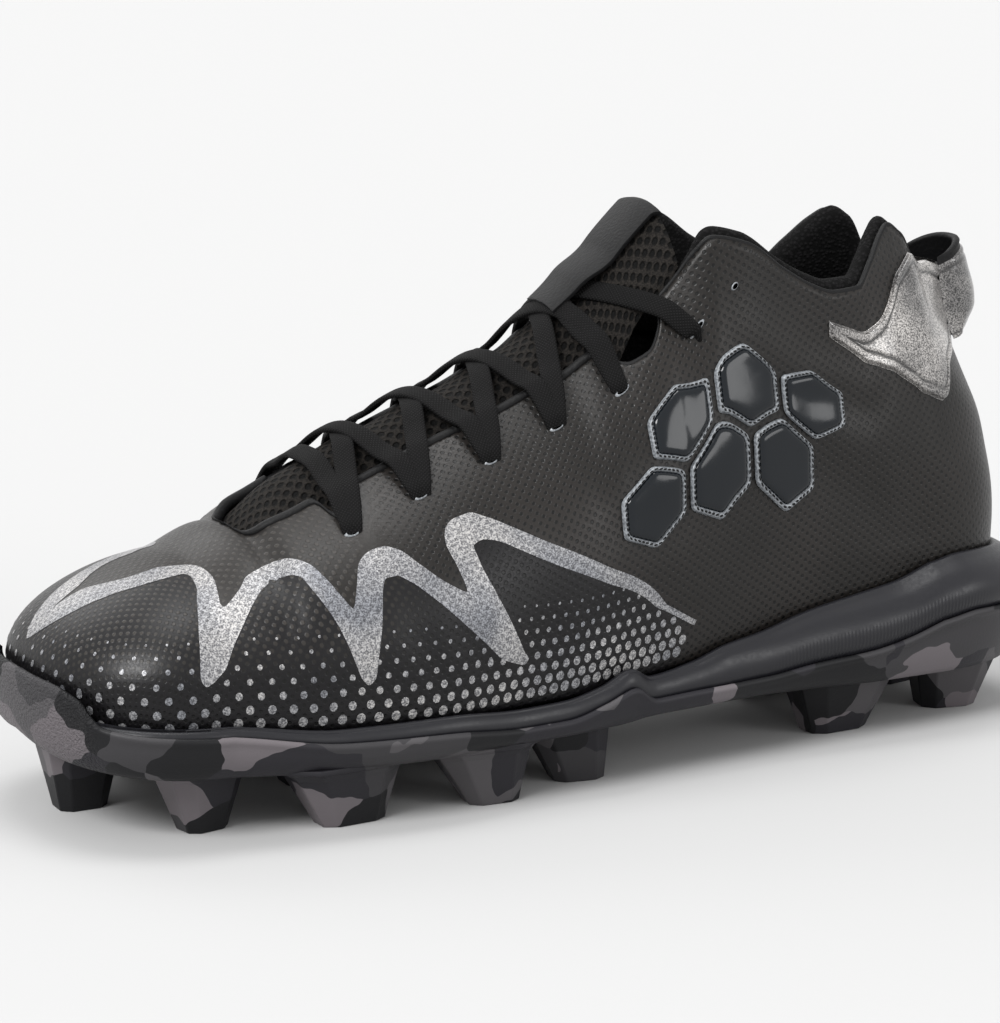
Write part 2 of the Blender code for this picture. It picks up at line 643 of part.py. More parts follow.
def build_lining():
    """Padded roll inside the collar, from one ankle corner round the heel to the other."""
    keep = ring.select(CORNER_AT)
    back = -(WALL + ROLL_GAP)
    front = back - ROLL_PAD
    at_top = side_point(HIGH, 1.0, 0)
    below = side_point(HIGH, 0.97, 0)
    run = np.hypot(at_top[0] - below[0], at_top[1] - below[1])
    up_r, up_z = (at_top[0] - below[0]) / run, (at_top[1] - below[1]) / run
    rows = []
    for t, offset, rise in ((0.74, back, 0), (0.88, back, 0), (1.0, back, 0),
                            (1.0, back, ROLL_RISE * 0.6),
                            (1.0, back - ROLL_PAD * 0.15, ROLL_RISE * 1.1),
                            (1.0, (back + front) / 2, ROLL_RISE * 1.4),
                            (1.0, front * 0.95, ROLL_RISE * 0.8), (1.0, front, -ROLL_RISE),
                            (0.86, front, 0), (0.74, front * 0.7, 0)):
        r, z = side_point(HIGH, t, offset)
        rows.append(ring.point(r + up_r * rise, z + up_z * rise)[keep])
    item = rows_mesh("collar_lining", rows, LINING, round_stations=False, caps=True)
    return item


def build_binding():
    """Narrow tape along the throat's edge, from one ankle corner round the front."""
    trim = column(EDGE, "trim", ring.at)
    throat = (ring.at >= THROAT_AT) & (ring.at <= BINDING_TO)
    order = np.nonzero(throat & (ring.side < 0))[0][::-1]
    order = np.concatenate([order, np.nonzero(throat & (ring.side > 0))[0][::-1][1:]])
    edge = ring.point(*side_point(HIGH, trim, 0))[order]
    deep = ring.point(*side_point(HIGH, trim, -1.0))[order]
    normal = edge - deep
    normal /= np.linalg.norm(normal, axis=1)[:, None]
    along = np.gradient(edge, axis=0)
    along /= np.linalg.norm(along, axis=1)[:, None]
    inward = np.cross(along, normal)
    inward /= np.linalg.norm(inward, axis=1)[:, None]
    near = GAP * (2 + 8 * np.clip(1 - trim[order], 0, 0.25) / 0.25)[:, None]
    far = near + BINDING_WIDTH
    rows = [edge + inward * near, edge + inward * far,
            edge + inward * far - normal * BINDING_WALL,
            edge + inward * near - normal * BINDING_WALL]
    return rows_mesh("throat_binding", rows, TAPE, round_stations=False, caps=True)


def on_side(at, share, side, offset):
    """Points over the side at places along the shoe and shares of the upper curve."""
    cross = Cross(at, side)
    return cross.point(*side_point(side_curves(cross)[1], np.asarray(share), offset))


def build_badge(name, side):
    """Honeycomb of joined six-sided pads laid on the side."""
    work = bmesh.new()
    for cell_x, cell_z in BADGE_CELLS:
        x0 = BADGE_HEX * math.sqrt(3) * (cell_x + 0.5 * (cell_z % 2))
        z0 = BADGE_HEX * 1.5 * cell_z
        centre = work.verts.new((x0, 0, z0))
        corners = [work.verts.new((x0 + BADGE_HEX * math.sin(math.pi * k / 3), 0,
                                   z0 + BADGE_HEX * math.cos(math.pi * k / 3)))
                   for k in range(6)]
        for k in range(6):
            work.faces.new((centre, corners[k], corners[(k + 1) % 6]))
    bmesh.ops.remove_doubles(work, verts=work.verts, dist=1e-4)
    bmesh.ops.subdivide_edges(work, edges=work.edges, cuts=1, use_grid_fill=True)
    work.verts.ensure_lookup_table()
    flat = np.array([v.co[:] for v in work.verts])
    at = BADGE_AT + flat[:, 0] / LENGTH
    share = BADGE_RISE + flat[:, 2] / BADGE_SPAN - (at - BADGE_AT) * BADGE_SLOPE
    places = on_side(at, share, side, BADGE_GAP + BADGE_WALL)
    for v, place in zip(work.verts, places):
        v.co = place
    bmesh.ops.recalc_face_normals(work, faces=work.faces)
    middle = sum(f.normal.y for f in work.faces)
    if middle * side < 0:
        bmesh.ops.reverse_faces(work, faces=work.faces)
    mesh = bpy.data.meshes.new(name)
    work.to_mesh(mesh)
    work.free()
    mesh.materials.append(GLOSS)
    mesh.shade_smooth()
    item = bpy.data.objects.new(name, mesh)
    PARTS.objects.link(item)
    return thicken(item, BADGE_WALL)


def build_heel_panel():
    """Reflective panel round the heel, with a wing to the front on each side."""
    keep = ring.select(HEEL_PANEL["at"][0])
    low = column(HEEL_PANEL, "low", ring.at)
    high = column(HEEL_PANEL, "high", ring.at)
    rows = []
    for k in (0, 0.33, 0.67, 1):
        share = low + (high - low) * k
        rows.append(ring.point(*side_point(HIGH, share, OVERLAY_WALL + BADGE_GAP))[keep])
    item = rows_mesh("heel_panel", rows, SILVER, round_rows=False, round_stations=False)
    return thicken(item, OVERLAY_WALL)


def build_loop():
    """Finger loop behind the heel: a band that stands off the panel, open at its top."""
    keep = ring.select(LOOP_FROM)
    near = OVERLAY_WALL + BADGE_GAP + GAP
    place = np.linspace(0, len(keep) - 1, LOOP_STEPS)
    reach = LOOP_REACH * np.sin(math.pi * np.linspace(0, 1, LOOP_STEPS)) ** 0.75
    ladder = list(zip(LOOP_LADDER["share"], LOOP_LADDER["out"]))
    rows = []
    for share, out, wall in ([(s, o, 0.0) for s, o in ladder]
                             + [(s, o, LOOP_WALL) for s, o in reversed(ladder)]):
        base = ring.point(*side_point(HIGH, share + 0 * ring.at, near))[keep]
        away = ring.point(*side_point(HIGH, share + 0 * ring.at, near + LOOP_WALL))[keep] - base
        base, away = (np.stack([np.interp(place, np.arange(len(keep)), column_of)
                                for column_of in values.T], 1) for values in (base, away))
        rows.append(base + away * ((wall + reach * out) / LOOP_WALL)[:, None])
    return rows_mesh("pull_loop", rows, TAPE, round_stations=False, caps=True)


def lace_ground(at, y):
    """Height of what lies under the laces: the upper, its binding or the tongue."""
    reach = np.abs(y)
    heights = []
    for side in (-1, 1):
        cross = Cross(at, side)
        top_r, top_z, high = tongue_edge(cross)
        outer = inner_height(cross, high, reach, 0)
        tongue = tongue_height(cross, reach)
        edge_z = side_point(high, 1.0, 0)[1]
        over = np.where(reach > top_r, outer, tongue)
        near = (reach > top_r - BINDING_WIDTH * 2) & (reach < top_r + BINDING_WIDTH)
        over = np.where(near, np.maximum(over, edge_z + BINDING_WIDTH * 0.8), over)
        heights.append(np.where(y * side >= 0, over, 0))
    return np.max(heights, axis=0)


def lace_bed(at, y):
    """Height under a lace and its slope along the shoe, raised to clear the lace's width."""
    step = LACE_WIDTH / 2 / LENGTH
    before, here, after = (lace_ground(at + k * step, y) for k in (-1, 0, 1))
    slope = (after - before) / LACE_WIDTH
    return np.maximum(here, (before + after) / 2), slope


def build_laces():
    """Crossed flat laces between the eyelets, joined where they cross."""
    at = EYELETS["at"]
    across = [k * BALL_WIDTH / 2 for k in EYELETS["across"]]
    runs = [(0, 0, -1)]
    for k in range(len(at) - 1):
        runs += [(k, k + 1, -1), (k, k + 1, 1)]
    first = None
    for number, (i, j, side) in enumerate(runs):
        q = np.linspace(0, 1, 13)
        y = side * (across[i] * 1.02 * (1 - q) - across[j] * 0.99 * q)
        bend = LAST_CROSSING - (at[i] + at[j]) / 2 if j == len(at) - 1 else 0
        place = at[i] + (at[j] - at[i]) * (0.03 + 0.93 * q) + bend * 4 * q * (1 - q)
        z, slope = lace_bed(place, y)
        path = np.stack([place * LENGTH - LENGTH / 2, y, z], 1)
        up = np.stack([-slope, 0 * z, 0 * z + 1], 1)
        up /= np.linalg.norm(up, axis=1)[:, None]
        free = smooth_step(q, 0.60, 0.78) * SPAN_RISE if bend else 0 * q
        over = LACE_WALL * 0.3 * (side > 0)
        path += up * (LACE_LIFT + free + over)[:, None]
        along = np.gradient(path, axis=0)
        along /= np.linalg.norm(along, axis=1)[:, None]
        beside = np.cross(along, up)
        beside *= (LACE_WIDTH / 2) / np.linalg.norm(beside, axis=1)[:, None]
        rise = np.cross(beside, along)
        rise *= LACE_WALL / np.linalg.norm(rise, axis=1)[:, None]
        rows = [path - beside, path + beside, path + beside + rise, path - beside + rise]
        name = "laces" if number == 0 else "lace_run_%d" % number
        item = rows_mesh(name, rows, LACING, round_stations=False, caps=True)
        if number == 0:
            first = item
            continue
        PARTS.objects.unlink(item)
        CUTTERS.objects.link(item)
        item.hide_render = True
        item.display_type = "WIRE"
        union = first.modifiers.new(name, "BOOLEAN")
        union.operation = "UNION"
        union.object = item
    return first


upper = build_upper()
midsole = build_midsole()
outsole = build_outsole()
insole = build_insole()
tongue = build_tongue()
band = build_band()
lining = build_lining()
binding = build_binding()
badges = [build_badge("badge_lateral", -1), build_badge("badge_medial", 1)]
heel_panel = build_heel_panel()
pull_loop = build_loop()
laces = build_laces()


def centre_parts():
    """Move the pieces so that the footprint's middle is over the origin."""
    graph = bpy.context.evaluated_depsgraph_get()
    corners = np.array([v.co[:] for item in PARTS.objects
                        for v in item.evaluated_get(graph).to_mesh().vertices])
    middle = (corners.min(0) + corners.max(0)) / 2
    for item in list(PARTS.objects) + list(CUTTERS.objects):
        item.location = (-middle[0], -middle[1], 0)
    return middle


centre_parts()
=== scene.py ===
# Left mid-cut field boot: dressed model over the fixed frame, lit in a plain pale studio
import math

import bpy
import bmesh
import numpy as np
from mathutils import Matrix


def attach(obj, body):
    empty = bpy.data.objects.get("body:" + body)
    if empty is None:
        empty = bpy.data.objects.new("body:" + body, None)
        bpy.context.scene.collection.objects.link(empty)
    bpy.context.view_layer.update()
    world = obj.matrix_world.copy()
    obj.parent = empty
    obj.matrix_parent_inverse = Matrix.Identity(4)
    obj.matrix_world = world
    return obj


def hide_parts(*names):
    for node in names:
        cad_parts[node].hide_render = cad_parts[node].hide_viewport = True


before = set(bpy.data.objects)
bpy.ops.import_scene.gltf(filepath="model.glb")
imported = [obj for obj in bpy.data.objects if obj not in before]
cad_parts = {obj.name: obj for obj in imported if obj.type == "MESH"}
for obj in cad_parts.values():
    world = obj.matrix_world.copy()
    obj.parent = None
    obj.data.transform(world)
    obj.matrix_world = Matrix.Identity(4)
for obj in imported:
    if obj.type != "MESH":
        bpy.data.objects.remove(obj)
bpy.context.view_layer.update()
print("frame loaded")

last = dict(length=0.302, ballWidth=0.102, heelWidth=0.072, collarWidth=0.060, toeReach=0.0388,
            heelReach=0.0350, toeShift=0.005, stud=0.0165, soleHeight=0.033, instepRise=0.0925,
            ankleRise=0.0325, toeAt=0.139, heelAt=0.848, waist=(0.45, 0.75), roundness=2.35,
            shiftX=0.00131, shiftY=0.00116)
outline = dict(
    at=(0.139, 0.225, 0.325, 0.424, 0.523, 0.623, 0.722, 0.848),
    lateral=(0.845, 0.950, 0.995, 0.945, 0.930, 0.985, 1.000, 0.945),
    medial=(0.865, 0.950, 0.945, 0.800, 0.755, 0.820, 0.890, 0.925))
body = dict(
    at=(0.000, 0.070, 0.139, 0.225, 0.325, 0.424, 0.523, 0.623, 0.722, 0.848, 1.000),
    belly=(0.245, 0.250, 0.275, 0.265, 0.255, 0.275, 0.330, 0.370, 0.400, 0.420, 0.420),
    low=(0.400, 0.420, 0.440, 0.440, 0.420, 0.420, 0.460, 0.500, 0.520, 0.520, 0.520),
    top=(0.480, 0.480, 0.480, 0.480, 0.460, 0.440, 0.420, 0.400, 0.380, 0.360, 0.360),
    tuck=(0.160, 0.160, 0.140, 0.130, 0.130, 0.140, 0.160, 0.180, 0.180, 0.180, 0.180))
edge = dict(
    at=(0.000, 0.139, 0.195, 0.202, 0.2185, 0.238, 0.258, 0.263, 0.268, 0.276, 0.281,
        0.305, 0.3675, 0.434, 0.490, 0.520, 0.537, 0.551, 0.566, 0.580, 0.588, 0.604, 0.615,
        0.6325, 0.6656, 0.702, 0.732, 0.755, 0.7815, 0.801, 0.821, 0.834, 0.848,
        0.880, 0.920, 0.960, 1.000),
    half=(0.0, 0.0, 0.0, 0.340, 0.490, 0.525, 0.540, 0.545, 0.550, 0.555, 0.560,
          0.570, 0.600, 0.630, 0.670, 0.700, 0.710, 0.720, 0.735, 0.750, 0.760, 0.790, 0.830,
          0.900, 0.965, 0.983, 0.983, 0.975, 0.925, 0.817, 0.667, 0.583, 0.550,
          0.517, 0.550, 0.630, 0.700),
    instep=(0.549, 0.549, 0.611, 0.606, 0.638, 0.662, 0.690, 0.696, 0.702, 0.710, 0.717,
            0.745, 0.828, 0.905, 0.980, 1.0, 1.0, 1.0, 1.0, 1.0, 1.0, 1.0, 1.0,
            1.0, 1.0, 1.0, 1.0, 1.0, 1.0, 1.0, 1.0, 1.0, 1.0,
            1.0, 1.0, 1.0, 1.0),
    ankle=(0.0, 0.0, 0.0, 0.0, 0.0, 0.0, 0.0, 0.0, 0.0, 0.0, 0.0,
           0.0, 0.0, 0.0, 0.0, 0.110, 0.210, 0.310, 0.420, 0.510, 0.570, 0.735, 0.880,
           1.030, 0.960, 0.720, 0.560, 0.490, 0.500, 0.680, 0.890, 0.970, 0.890,
           0.646, 0.490, 0.430, 0.415),
    lean=(90, 90, 90, 78, 70, 68, 66, 66, 66, 65, 65,
          62, 58, 52, 47, 45, 43, 41, 37, 32, 28, 21, 16,
          10, 6, 4, 3, 3, 6, 12, 17, 18, 18,
          16, 12, 8, 8),
    trim=(1.0, 1.0, 1.0, 1.0, 1.0, 1.0, 1.0, 0.960, 0.880, 0.930, 1.0,
          1.0, 1.0, 1.0, 1.0, 1.0, 0.930, 0.880, 0.870, 0.920, 1.0, 1.0, 1.0,
          1.0, 1.0, 1.0, 1.0, 1.0, 1.0, 1.0, 1.0, 1.0, 1.0,
          1.0, 1.0, 1.0, 1.0))
rims = dict(
    at=(0.000, 0.050, 0.150, 0.240, 0.330, 0.410, 0.447, 0.487, 0.515, 0.540, 0.586,
        0.620, 0.660, 0.710, 0.770, 0.810, 0.845, 0.868, 1.000),
    rim=(0.620, 0.515, 0.433, 0.340, 0.345, 0.290, 0.300, 0.379, 0.485, 0.379, 0.439,
         0.530, 0.576, 0.682, 0.773, 0.833, 0.940, 1.000, 0.880),
    seam=(0.500, 0.440, 0.320, 0.200, 0.180, 0.110, 0.115, 0.210, 0.300, 0.165, 0.176,
          0.180, 0.185, 0.230, 0.270, 0.340, 0.440, 0.500, 0.400))
floors = dict(
    at=(0.000, 0.050, 0.139, 0.240, 0.330, 0.450, 0.540, 0.620, 0.710, 0.800, 1.000),
    bed=(0.330, 0.310, 0.235, 0.195, 0.176, 0.176, 0.220, 0.305, 0.385, 0.435, 0.455),
    under=(0.220, 0.120, 0.030, 0.000, 0.000, 0.000, 0.040, 0.050, 0.030, 0.010, 0.030),
    flare=(0.040, 0.040, 0.040, 0.040, 0.040, 0.040, 0.055, 0.070, 0.110, 0.150, 0.200),
    bulge=(0.030, 0.030, 0.030, 0.030, 0.030, 0.030, 0.040, 0.060, 0.110, 0.150, 0.190))


def column(table, name, at):  # smooth curve through one column, without overshoot between rows
    x = np.array(table["at"], float)
    y = np.array(table[name], float)
    steps = np.diff(x)
    slopes = np.diff(y) / steps
    left, right = slopes[:-1], slopes[1:]
    same = left * right > 0
    mean = np.where(same, 2 * left * right / np.where(same, left + right, 1), 0)
    tangent = np.concatenate([[slopes[0]], mean, [slopes[-1]]])
    at = np.clip(at, x[0], x[-1])
    k = np.clip(np.searchsorted(x, at, side="right") - 1, 0, len(x) - 2)
    u = (at - x[k]) / steps[k]
    a = y[k] * (2 * u ** 3 - 3 * u ** 2 + 1) + y[k + 1] * (3 * u ** 2 - 2 * u ** 3)
    b = tangent[k] * (u ** 3 - 2 * u ** 2 + u) + tangent[k + 1] * (u ** 3 - u ** 2)
    return a + b * steps[k]


def smoothStep(value, low, high):
    u = np.clip((value - low) / (high - low), 0, 1)
    return u * u * (3 - 2 * u)


def bezier(a, b, c, d, t):
    s = 1 - t
    return a * s ** 3 + 3 * b * s * s * t + 3 * c * s * t * t + d * t ** 3


def station(at, side):  # where a section starts on the spine, which way it looks and how far it reaches
    at, side = np.broadcast_arrays(np.asarray(at, float), np.asarray(side, float))
    inner = np.clip(at, last["toeAt"], last["heelAt"])
    blend = smoothStep(inner, *last["waist"])
    width = last["ballWidth"] + (last["heelWidth"] - last["ballWidth"]) * blend
    share = np.where(side < 0, column(outline, "lateral", inner), column(outline, "medial", inner))
    half = share * width / 2 * side
    toeTurn = np.clip(1 - at / last["toeAt"], 0, 1)
    heelTurn = np.clip((at - last["heelAt"]) / (1 - last["heelAt"]), 0, 1)
    turn = (toeTurn + heelTurn) * math.pi / 2
    ahead = np.clip(np.sin(turn), 0, 1) ** (2 / last["roundness"])
    beside = np.clip(np.cos(turn), 0, 1) ** (2 / last["roundness"])
    toe = toeTurn > 0
    shift = np.where(toe, last["toeShift"], 0)
    dx = np.where(toe, -last["toeReach"], last["heelReach"]) * ahead
    dy = shift + (half - shift) * beside
    reach = np.hypot(dx, dy)
    return dict(at=at, side=side, x=inner * last["length"] - last["length"] / 2, reach=reach,
                dirX=dx / reach, dirY=dy / reach, toe=toe)


def place(s, reach, z):  # point at a reach from the spine and a height, in the frame's metres
    return np.stack([s["x"] + s["dirX"] * reach + last["shiftX"],
                     s["dirY"] * reach + last["shiftY"], z + 0 * reach], -1)


def soleLevel(table, name, at):
    return last["stud"] + column(table, name, at) * last["soleHeight"]


def ridgeHeight(at):
    return (last["stud"] + column(edge, "instep", at) * last["instepRise"]
            + column(edge, "ankle", at) * last["ankleRise"])


def sideCurves(s):  # control points of the lower and upper curve of a section
    at, reach = s["at"], s["reach"]
    bed = soleLevel(floors, "bed", at) + 0.0005
    belly = last["stud"] + column(body, "belly", at) * last["instepRise"]
    tuck = reach * (1 - column(body, "tuck", at))
    low = ((tuck, bed), (tuck + (reach - tuck) * 0.75, bed),
           (reach, bed + (belly - bed) * 0.45), (reach, belly))
    topReach = column(edge, "half", at) * last["collarWidth"] / 2
    top = ridgeHeight(at)
    lean = np.radians(column(edge, "lean", at))
    pull = column(body, "top", at) * np.hypot(reach - topReach, top - belly)
    pole = last["toeAt"]
    slope = (ridgeHeight(pole + 0.012) - ridgeHeight(pole)) / (0.012 * last["length"])
    fall = np.where(s["toe"], s["dirX"] * slope, 0)
    high = ((reach, belly), (reach, belly + (top - belly) * column(body, "low", at)),
            (topReach + pull * np.sin(lean), top - pull * np.cos(lean) + fall * pull),
            (topReach, top))
    return low, high


def curvePoint(curve, t, offset):  # reach and height at share t, moved outwards
    r = bezier(*(p[0] for p in curve), t)
    z = bezier(*(p[1] for p in curve), t)
    ta, tb = np.clip(t - 0.01, 0, 1), np.clip(t + 0.01, 0, 1)
    dr = bezier(*(p[0] for p in curve), tb) - bezier(*(p[0] for p in curve), ta)
    dz = bezier(*(p[1] for p in curve), tb) - bezier(*(p[1] for p in curve), ta)
    size = np.hypot(dr, dz)
    return r + offset * dz / size, z - offset * dr / size


def skin(at, v, side, offset=0.0):  # upper's face: v -1 in the cup, 0 at the belly, 1 at the edge
    s = station(at, side)
    low, high = sideCurves(s)
    v = np.asarray(v, float)
    rl, zl = curvePoint(low, np.clip(1 + v, 0, 1), offset)
    rh, zh = curvePoint(high, np.clip(v, 0, 1), offset)
    up = v >= 0
    return place(s, np.where(up, rh, rl), np.where(up, zh, zl))


def wallNormal(at, v, side):  # outward unit normal of the skin, from small steps along both ways
    a = skin(at + 0.0008, v, side) - skin(at - 0.0008, v, side)
    b = skin(at, np.clip(v + 0.01, -1, 1), side) - skin(at, np.clip(v - 0.01, -1, 1), side)
    n = np.cross(a, b) * -np.asarray(side)[..., None]
    return n / np.maximum(np.linalg.norm(n, axis=-1, keepdims=True), 1e-12)


layGrid = dict(at=np.linspace(0, 1, 401), v=np.linspace(-0.8, 1, 181))


def measureLay():  # arc lengths on the skin, so that a pattern keeps its real size in millimetres
    at, v = np.meshgrid(layGrid["at"], layGrid["v"], indexing="ij")
    found = {}
    for side in (-1.0, 1.0):
        points = skin(at, v, side)
        steps = np.linalg.norm(np.diff(points, axis=1), axis=-1)
        down = np.concatenate([np.cumsum(steps[:, ::-1], axis=1)[:, ::-1], 0 * steps[:, :1]], 1)
        arc = down + (column(edge, "half", layGrid["at"]) * last["collarWidth"] / 2)[:, None]
        run = np.linalg.norm(np.diff(skin(layGrid["at"], 0.15, side), axis=0), axis=-1)
        found[side] = arc, np.concatenate([[0], np.cumsum(run)])
    return found


layArcs = measureLay()


def lookUp(table, at, v):  # bilinear reading of a table over the lay grid
    a = np.clip(at, 0, 1) * 400
    b = (np.clip(v, -0.8, 1) + 0.8) * 100
    i, j = np.minimum(a.astype(int), 399), np.minimum(b.astype(int), 179)
    fa, fb = a - i, b - j
    return (table[i, j] * (1 - fa) * (1 - fb) + table[i + 1, j] * fa * (1 - fb)
            + table[i, j + 1] * (1 - fa) * fb + table[i + 1, j + 1] * fa * fb)


def layOf(at, v, side):  # metres along and across: a fan round the toe's pole, straight behind
    at, v, side = np.broadcast_arrays(np.asarray(at, float), np.asarray(v, float),
                                      np.asarray(side, float))
    s = station(at, side)
    left = side < 0
    arc, belly, toeBelly = (np.where(left, lookUp(layArcs[-1.0][0], a, b), lookUp(layArcs[1.0][0], a, b))
                            for a, b in ((at, v), (at, 0 * v), (0 * at + last["toeAt"], 0 * v)))
    behind = smoothStep(at, 0.16, 0.34)
    arc = arc + (1 - (1 - behind) * np.clip(v, 0, 1)) * (toeBelly - belly) * (at > last["toeAt"])
    start = np.interp(last["toeAt"], layGrid["at"], layArcs[-1.0][1])
    run = np.where(left, np.interp(at, layGrid["at"], layArcs[-1.0][1]) - start,
                   np.interp(at, layGrid["at"], layArcs[1.0][1])
                   - np.interp(last["toeAt"], layGrid["at"], layArcs[1.0][1]))
    u = np.where(s["toe"], s["dirX"] * arc, run)
    w = np.where(s["toe"], s["dirY"] * arc, side * arc)
    return np.stack([u, w], -1)


def linear(code):  # sRGB hex to linear colour
    parts = np.array([int(code[k:k + 2], 16) for k in (1, 3, 5)]) / 255
    parts = np.where(parts <= 0.04045, parts / 12.92, ((parts + 0.055) / 1.055) ** 2.4)
    return (float(parts[0]), float(parts[1]), float(parts[2]), 1.0)


def newMaterial(name, color, roughness, **sockets):  # plain shader with its fixed values
    made = bpy.data.materials.new(name)
    made.use_nodes = True
    shader = made.node_tree.nodes["Principled BSDF"]
    shader.inputs["Base Color"].default_value = linear(color)
    shader.inputs["Roughness"].default_value = roughness
    for key, value in sockets.items():
        shader.inputs[key.replace("_", " ")].default_value = value
    return made


def addNode(made, kind, settings=None, **inputs):  # one node: settings by name, inputs by name or i0, i1
    tree = made.node_tree
    item = tree.nodes.new("ShaderNode" + kind)
    for key, value in (settings or {}).items():
        setattr(item, key, value)
    for key, value in inputs.items():
        socket = item.inputs[int(key[1:])] if key[1:].isdigit() else item.inputs[key.replace("_", " ")]
        if isinstance(value, bpy.types.Node):
            value = value.outputs[0]
        if isinstance(value, bpy.types.NodeSocket):
            tree.links.new(value, socket)
        else:
            socket.default_value = value
    return item


def plug(made, item, name):  # joins a node's first output to the shader
    shader = made.node_tree.nodes["Principled BSDF"]
    made.node_tree.links.new(item.outputs[0], shader.inputs[name])


def finishMesh(name, points, faces, made, replaces=(), sharp=None, uv=None, mixes=None):
    mesh = bpy.data.meshes.new(name)
    points = np.asarray(points, float).reshape(-1, 3)
    faces = np.asarray(faces, int)
    mesh.vertices.add(len(points))
    mesh.vertices.foreach_set("co", points.ravel())
    sides = faces.shape[1]
    mesh.loops.add(faces.size)
    mesh.loops.foreach_set("vertex_index", faces.ravel())
    mesh.polygons.add(len(faces))
    mesh.polygons.foreach_set("loop_start", np.arange(0, faces.size, sides))
    if uv is not None:
        layer = mesh.uv_layers.new(name="lay")
        layer.uv.foreach_set("vector", np.asarray(uv).reshape(-1, 2)[faces.ravel()].ravel())
    for key, value in (mixes or {}).items():
        layer = mesh.attributes.new(key, "FLOAT", "POINT")
        layer.data.foreach_set("value", np.asarray(value, float).ravel())
    mesh.update(calc_edges=True)
    mesh.validate()
    mesh.shade_smooth()
    if sharp:
        mesh.set_sharp_from_angle(angle=math.radians(sharp))
    mesh.materials.append(made)
    item = bpy.data.objects.new(name, mesh)
    bpy.context.scene.collection.objects.link(item)
    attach(item, "root")
    if replaces:
        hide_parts(*replaces)
    return item


def gridFaces(m, n, roundM=False, roundN=False, flip=False):  # quads of an m by n grid of points
    i, j = np.meshgrid(np.arange(m if roundM else m - 1), np.arange(n if roundN else n - 1),
                       indexing="ij")
    i2, j2 = (i + 1) % m, (j + 1) % n
    faces = np.stack([i * n + j, i2 * n + j, i2 * n + j2, i * n + j2], -1).reshape(-1, 4)
    return faces[:, ::-1] if flip else faces


# Materials, each from what the real thing is
def dotLattice(made, pitch, turn, small, big):  # 1 inside each dot of a turned square lattice
    lay = addNode(made, "UVMap", dict(uv_map="lay"))
    place2 = addNode(made, "Mapping", i0=lay, Rotation=(0, 0, math.radians(turn)),
                     Scale=(1 / pitch, 1 / pitch, 1))
    part = addNode(made, "VectorMath", dict(operation="FRACTION"), i0=place2)
    middle = addNode(made, "VectorMath", dict(operation="SUBTRACT"), i0=part, i1=(0.5, 0.5, 0))
    away = addNode(made, "VectorMath", dict(operation="LENGTH"), i0=middle)
    return addNode(made, "MapRange", dict(interpolation_type="SMOOTHSTEP"), i0=away.outputs["Value"],
                   i1=small, i2=big, i3=1.0, i4=0.0)


def spots(made, size, detail=2.0, low=0.35, high=0.65):  # soft noise in the piece's own metres
    where = addNode(made, "TexCoord")
    noise = addNode(made, "TexNoise", Vector=where.outputs["Object"], Scale=1 / size, Detail=detail)
    return addNode(made, "MapRange", i0=noise, i1=low, i2=high, i3=0.0, i4=1.0)


def coatedSynthetic():
    # Polyurethane skin hot-pressed on a knit: satin black film, a fine grid of pressed dots,
    # pinholes painted near-black as painted shade towards the throat and heel, raised dots painted
    # lighter as a painted glint on the vamp
    made = newMaterial("coatedSynthetic", "#262422", 0.38, Specular_IOR_Level=0.28)
    dots = dotLattice(made, 0.0020, 38, 0.18, 0.34)
    # Vamp mask: it raises the dots' bump there and paints them lighter as a painted glint
    raisedGlint = addNode(made, "Attribute", dict(attribute_name="raisedGlint")).outputs["Fac"]
    under = addNode(made, "Attribute", dict(attribute_name="under")).outputs["Fac"]
    cloud = spots(made, 0.035)
    base = addNode(made, "MixRGB", i0=cloud, i1=linear("#161412"), i2=linear("#1f1c1a"))
    base = addNode(made, "MixRGB", i0=under, i1=base, i2=linear("#0c0b0d"))
    # Raised dots painted a lighter grey: a painted glint
    dotGlint = addNode(made, "MixRGB", i0=dots, i1=base, i2=linear("#2c2926"))
    # Pinholes painted near-black: painted shade in the recesses
    holes = addNode(made, "MixRGB", i0=dots, i1=base, i2=linear("#050505"))
    plug(made, addNode(made, "MixRGB", i0=raisedGlint, i1=holes, i2=dotGlint), "Base Color")
    grain = spots(made, 0.0006, 3.0)
    rough = addNode(made, "MapRange", i0=grain, i1=0.0, i2=1.0, i3=0.33, i4=0.46)
    plug(made, rough, "Roughness")
    sign = addNode(made, "MapRange", i0=raisedGlint, i1=0.0, i2=1.0, i3=-1.0, i4=0.8)
    relief = addNode(made, "Math", dict(operation="MULTIPLY"), i0=dots, i1=sign)
    first = addNode(made, "Bump", Strength=0.45, Distance=0.0002, Height=relief)
    plug(made, addNode(made, "Bump", Strength=0.12, Distance=0.0001, Height=grain, Normal=first),
         "Normal")
    return made


def silverInk():
    # Screen-printed metallic ink: flakes of two greys, satin, with the skin's grid showing through
    made = newMaterial("silverInk", "#b9b7b6", 0.42, Metallic=0.35, Specular_IOR_Level=0.6)
    flakes = spots(made, 0.00042, 1.0, 0.38, 0.62)
    cloud = spots(made, 0.022)
    base = addNode(made, "MixRGB", i0=flakes, i1=linear("#626265"), i2=linear("#b5b3b1"))
    dull = addNode(made, "MixRGB", i0=flakes, i1=linear("#46474c"), i2=linear("#84868b"))
    color = addNode(made, "MixRGB", i0=cloud, i1=dull, i2=base)
    dots = dotLattice(made, 0.0020, 38, 0.18, 0.36)
    mark = addNode(made, "Math", dict(operation="MULTIPLY"), i0=dots, i1=0.40)
    plug(made, addNode(made, "MixRGB", i0=mark, i1=color, i2=linear("#2f2f32")), "Base Color")
    plug(made, addNode(made, "Bump", Strength=0.4, Distance=0.0002, Height=dots), "Normal")
    return made


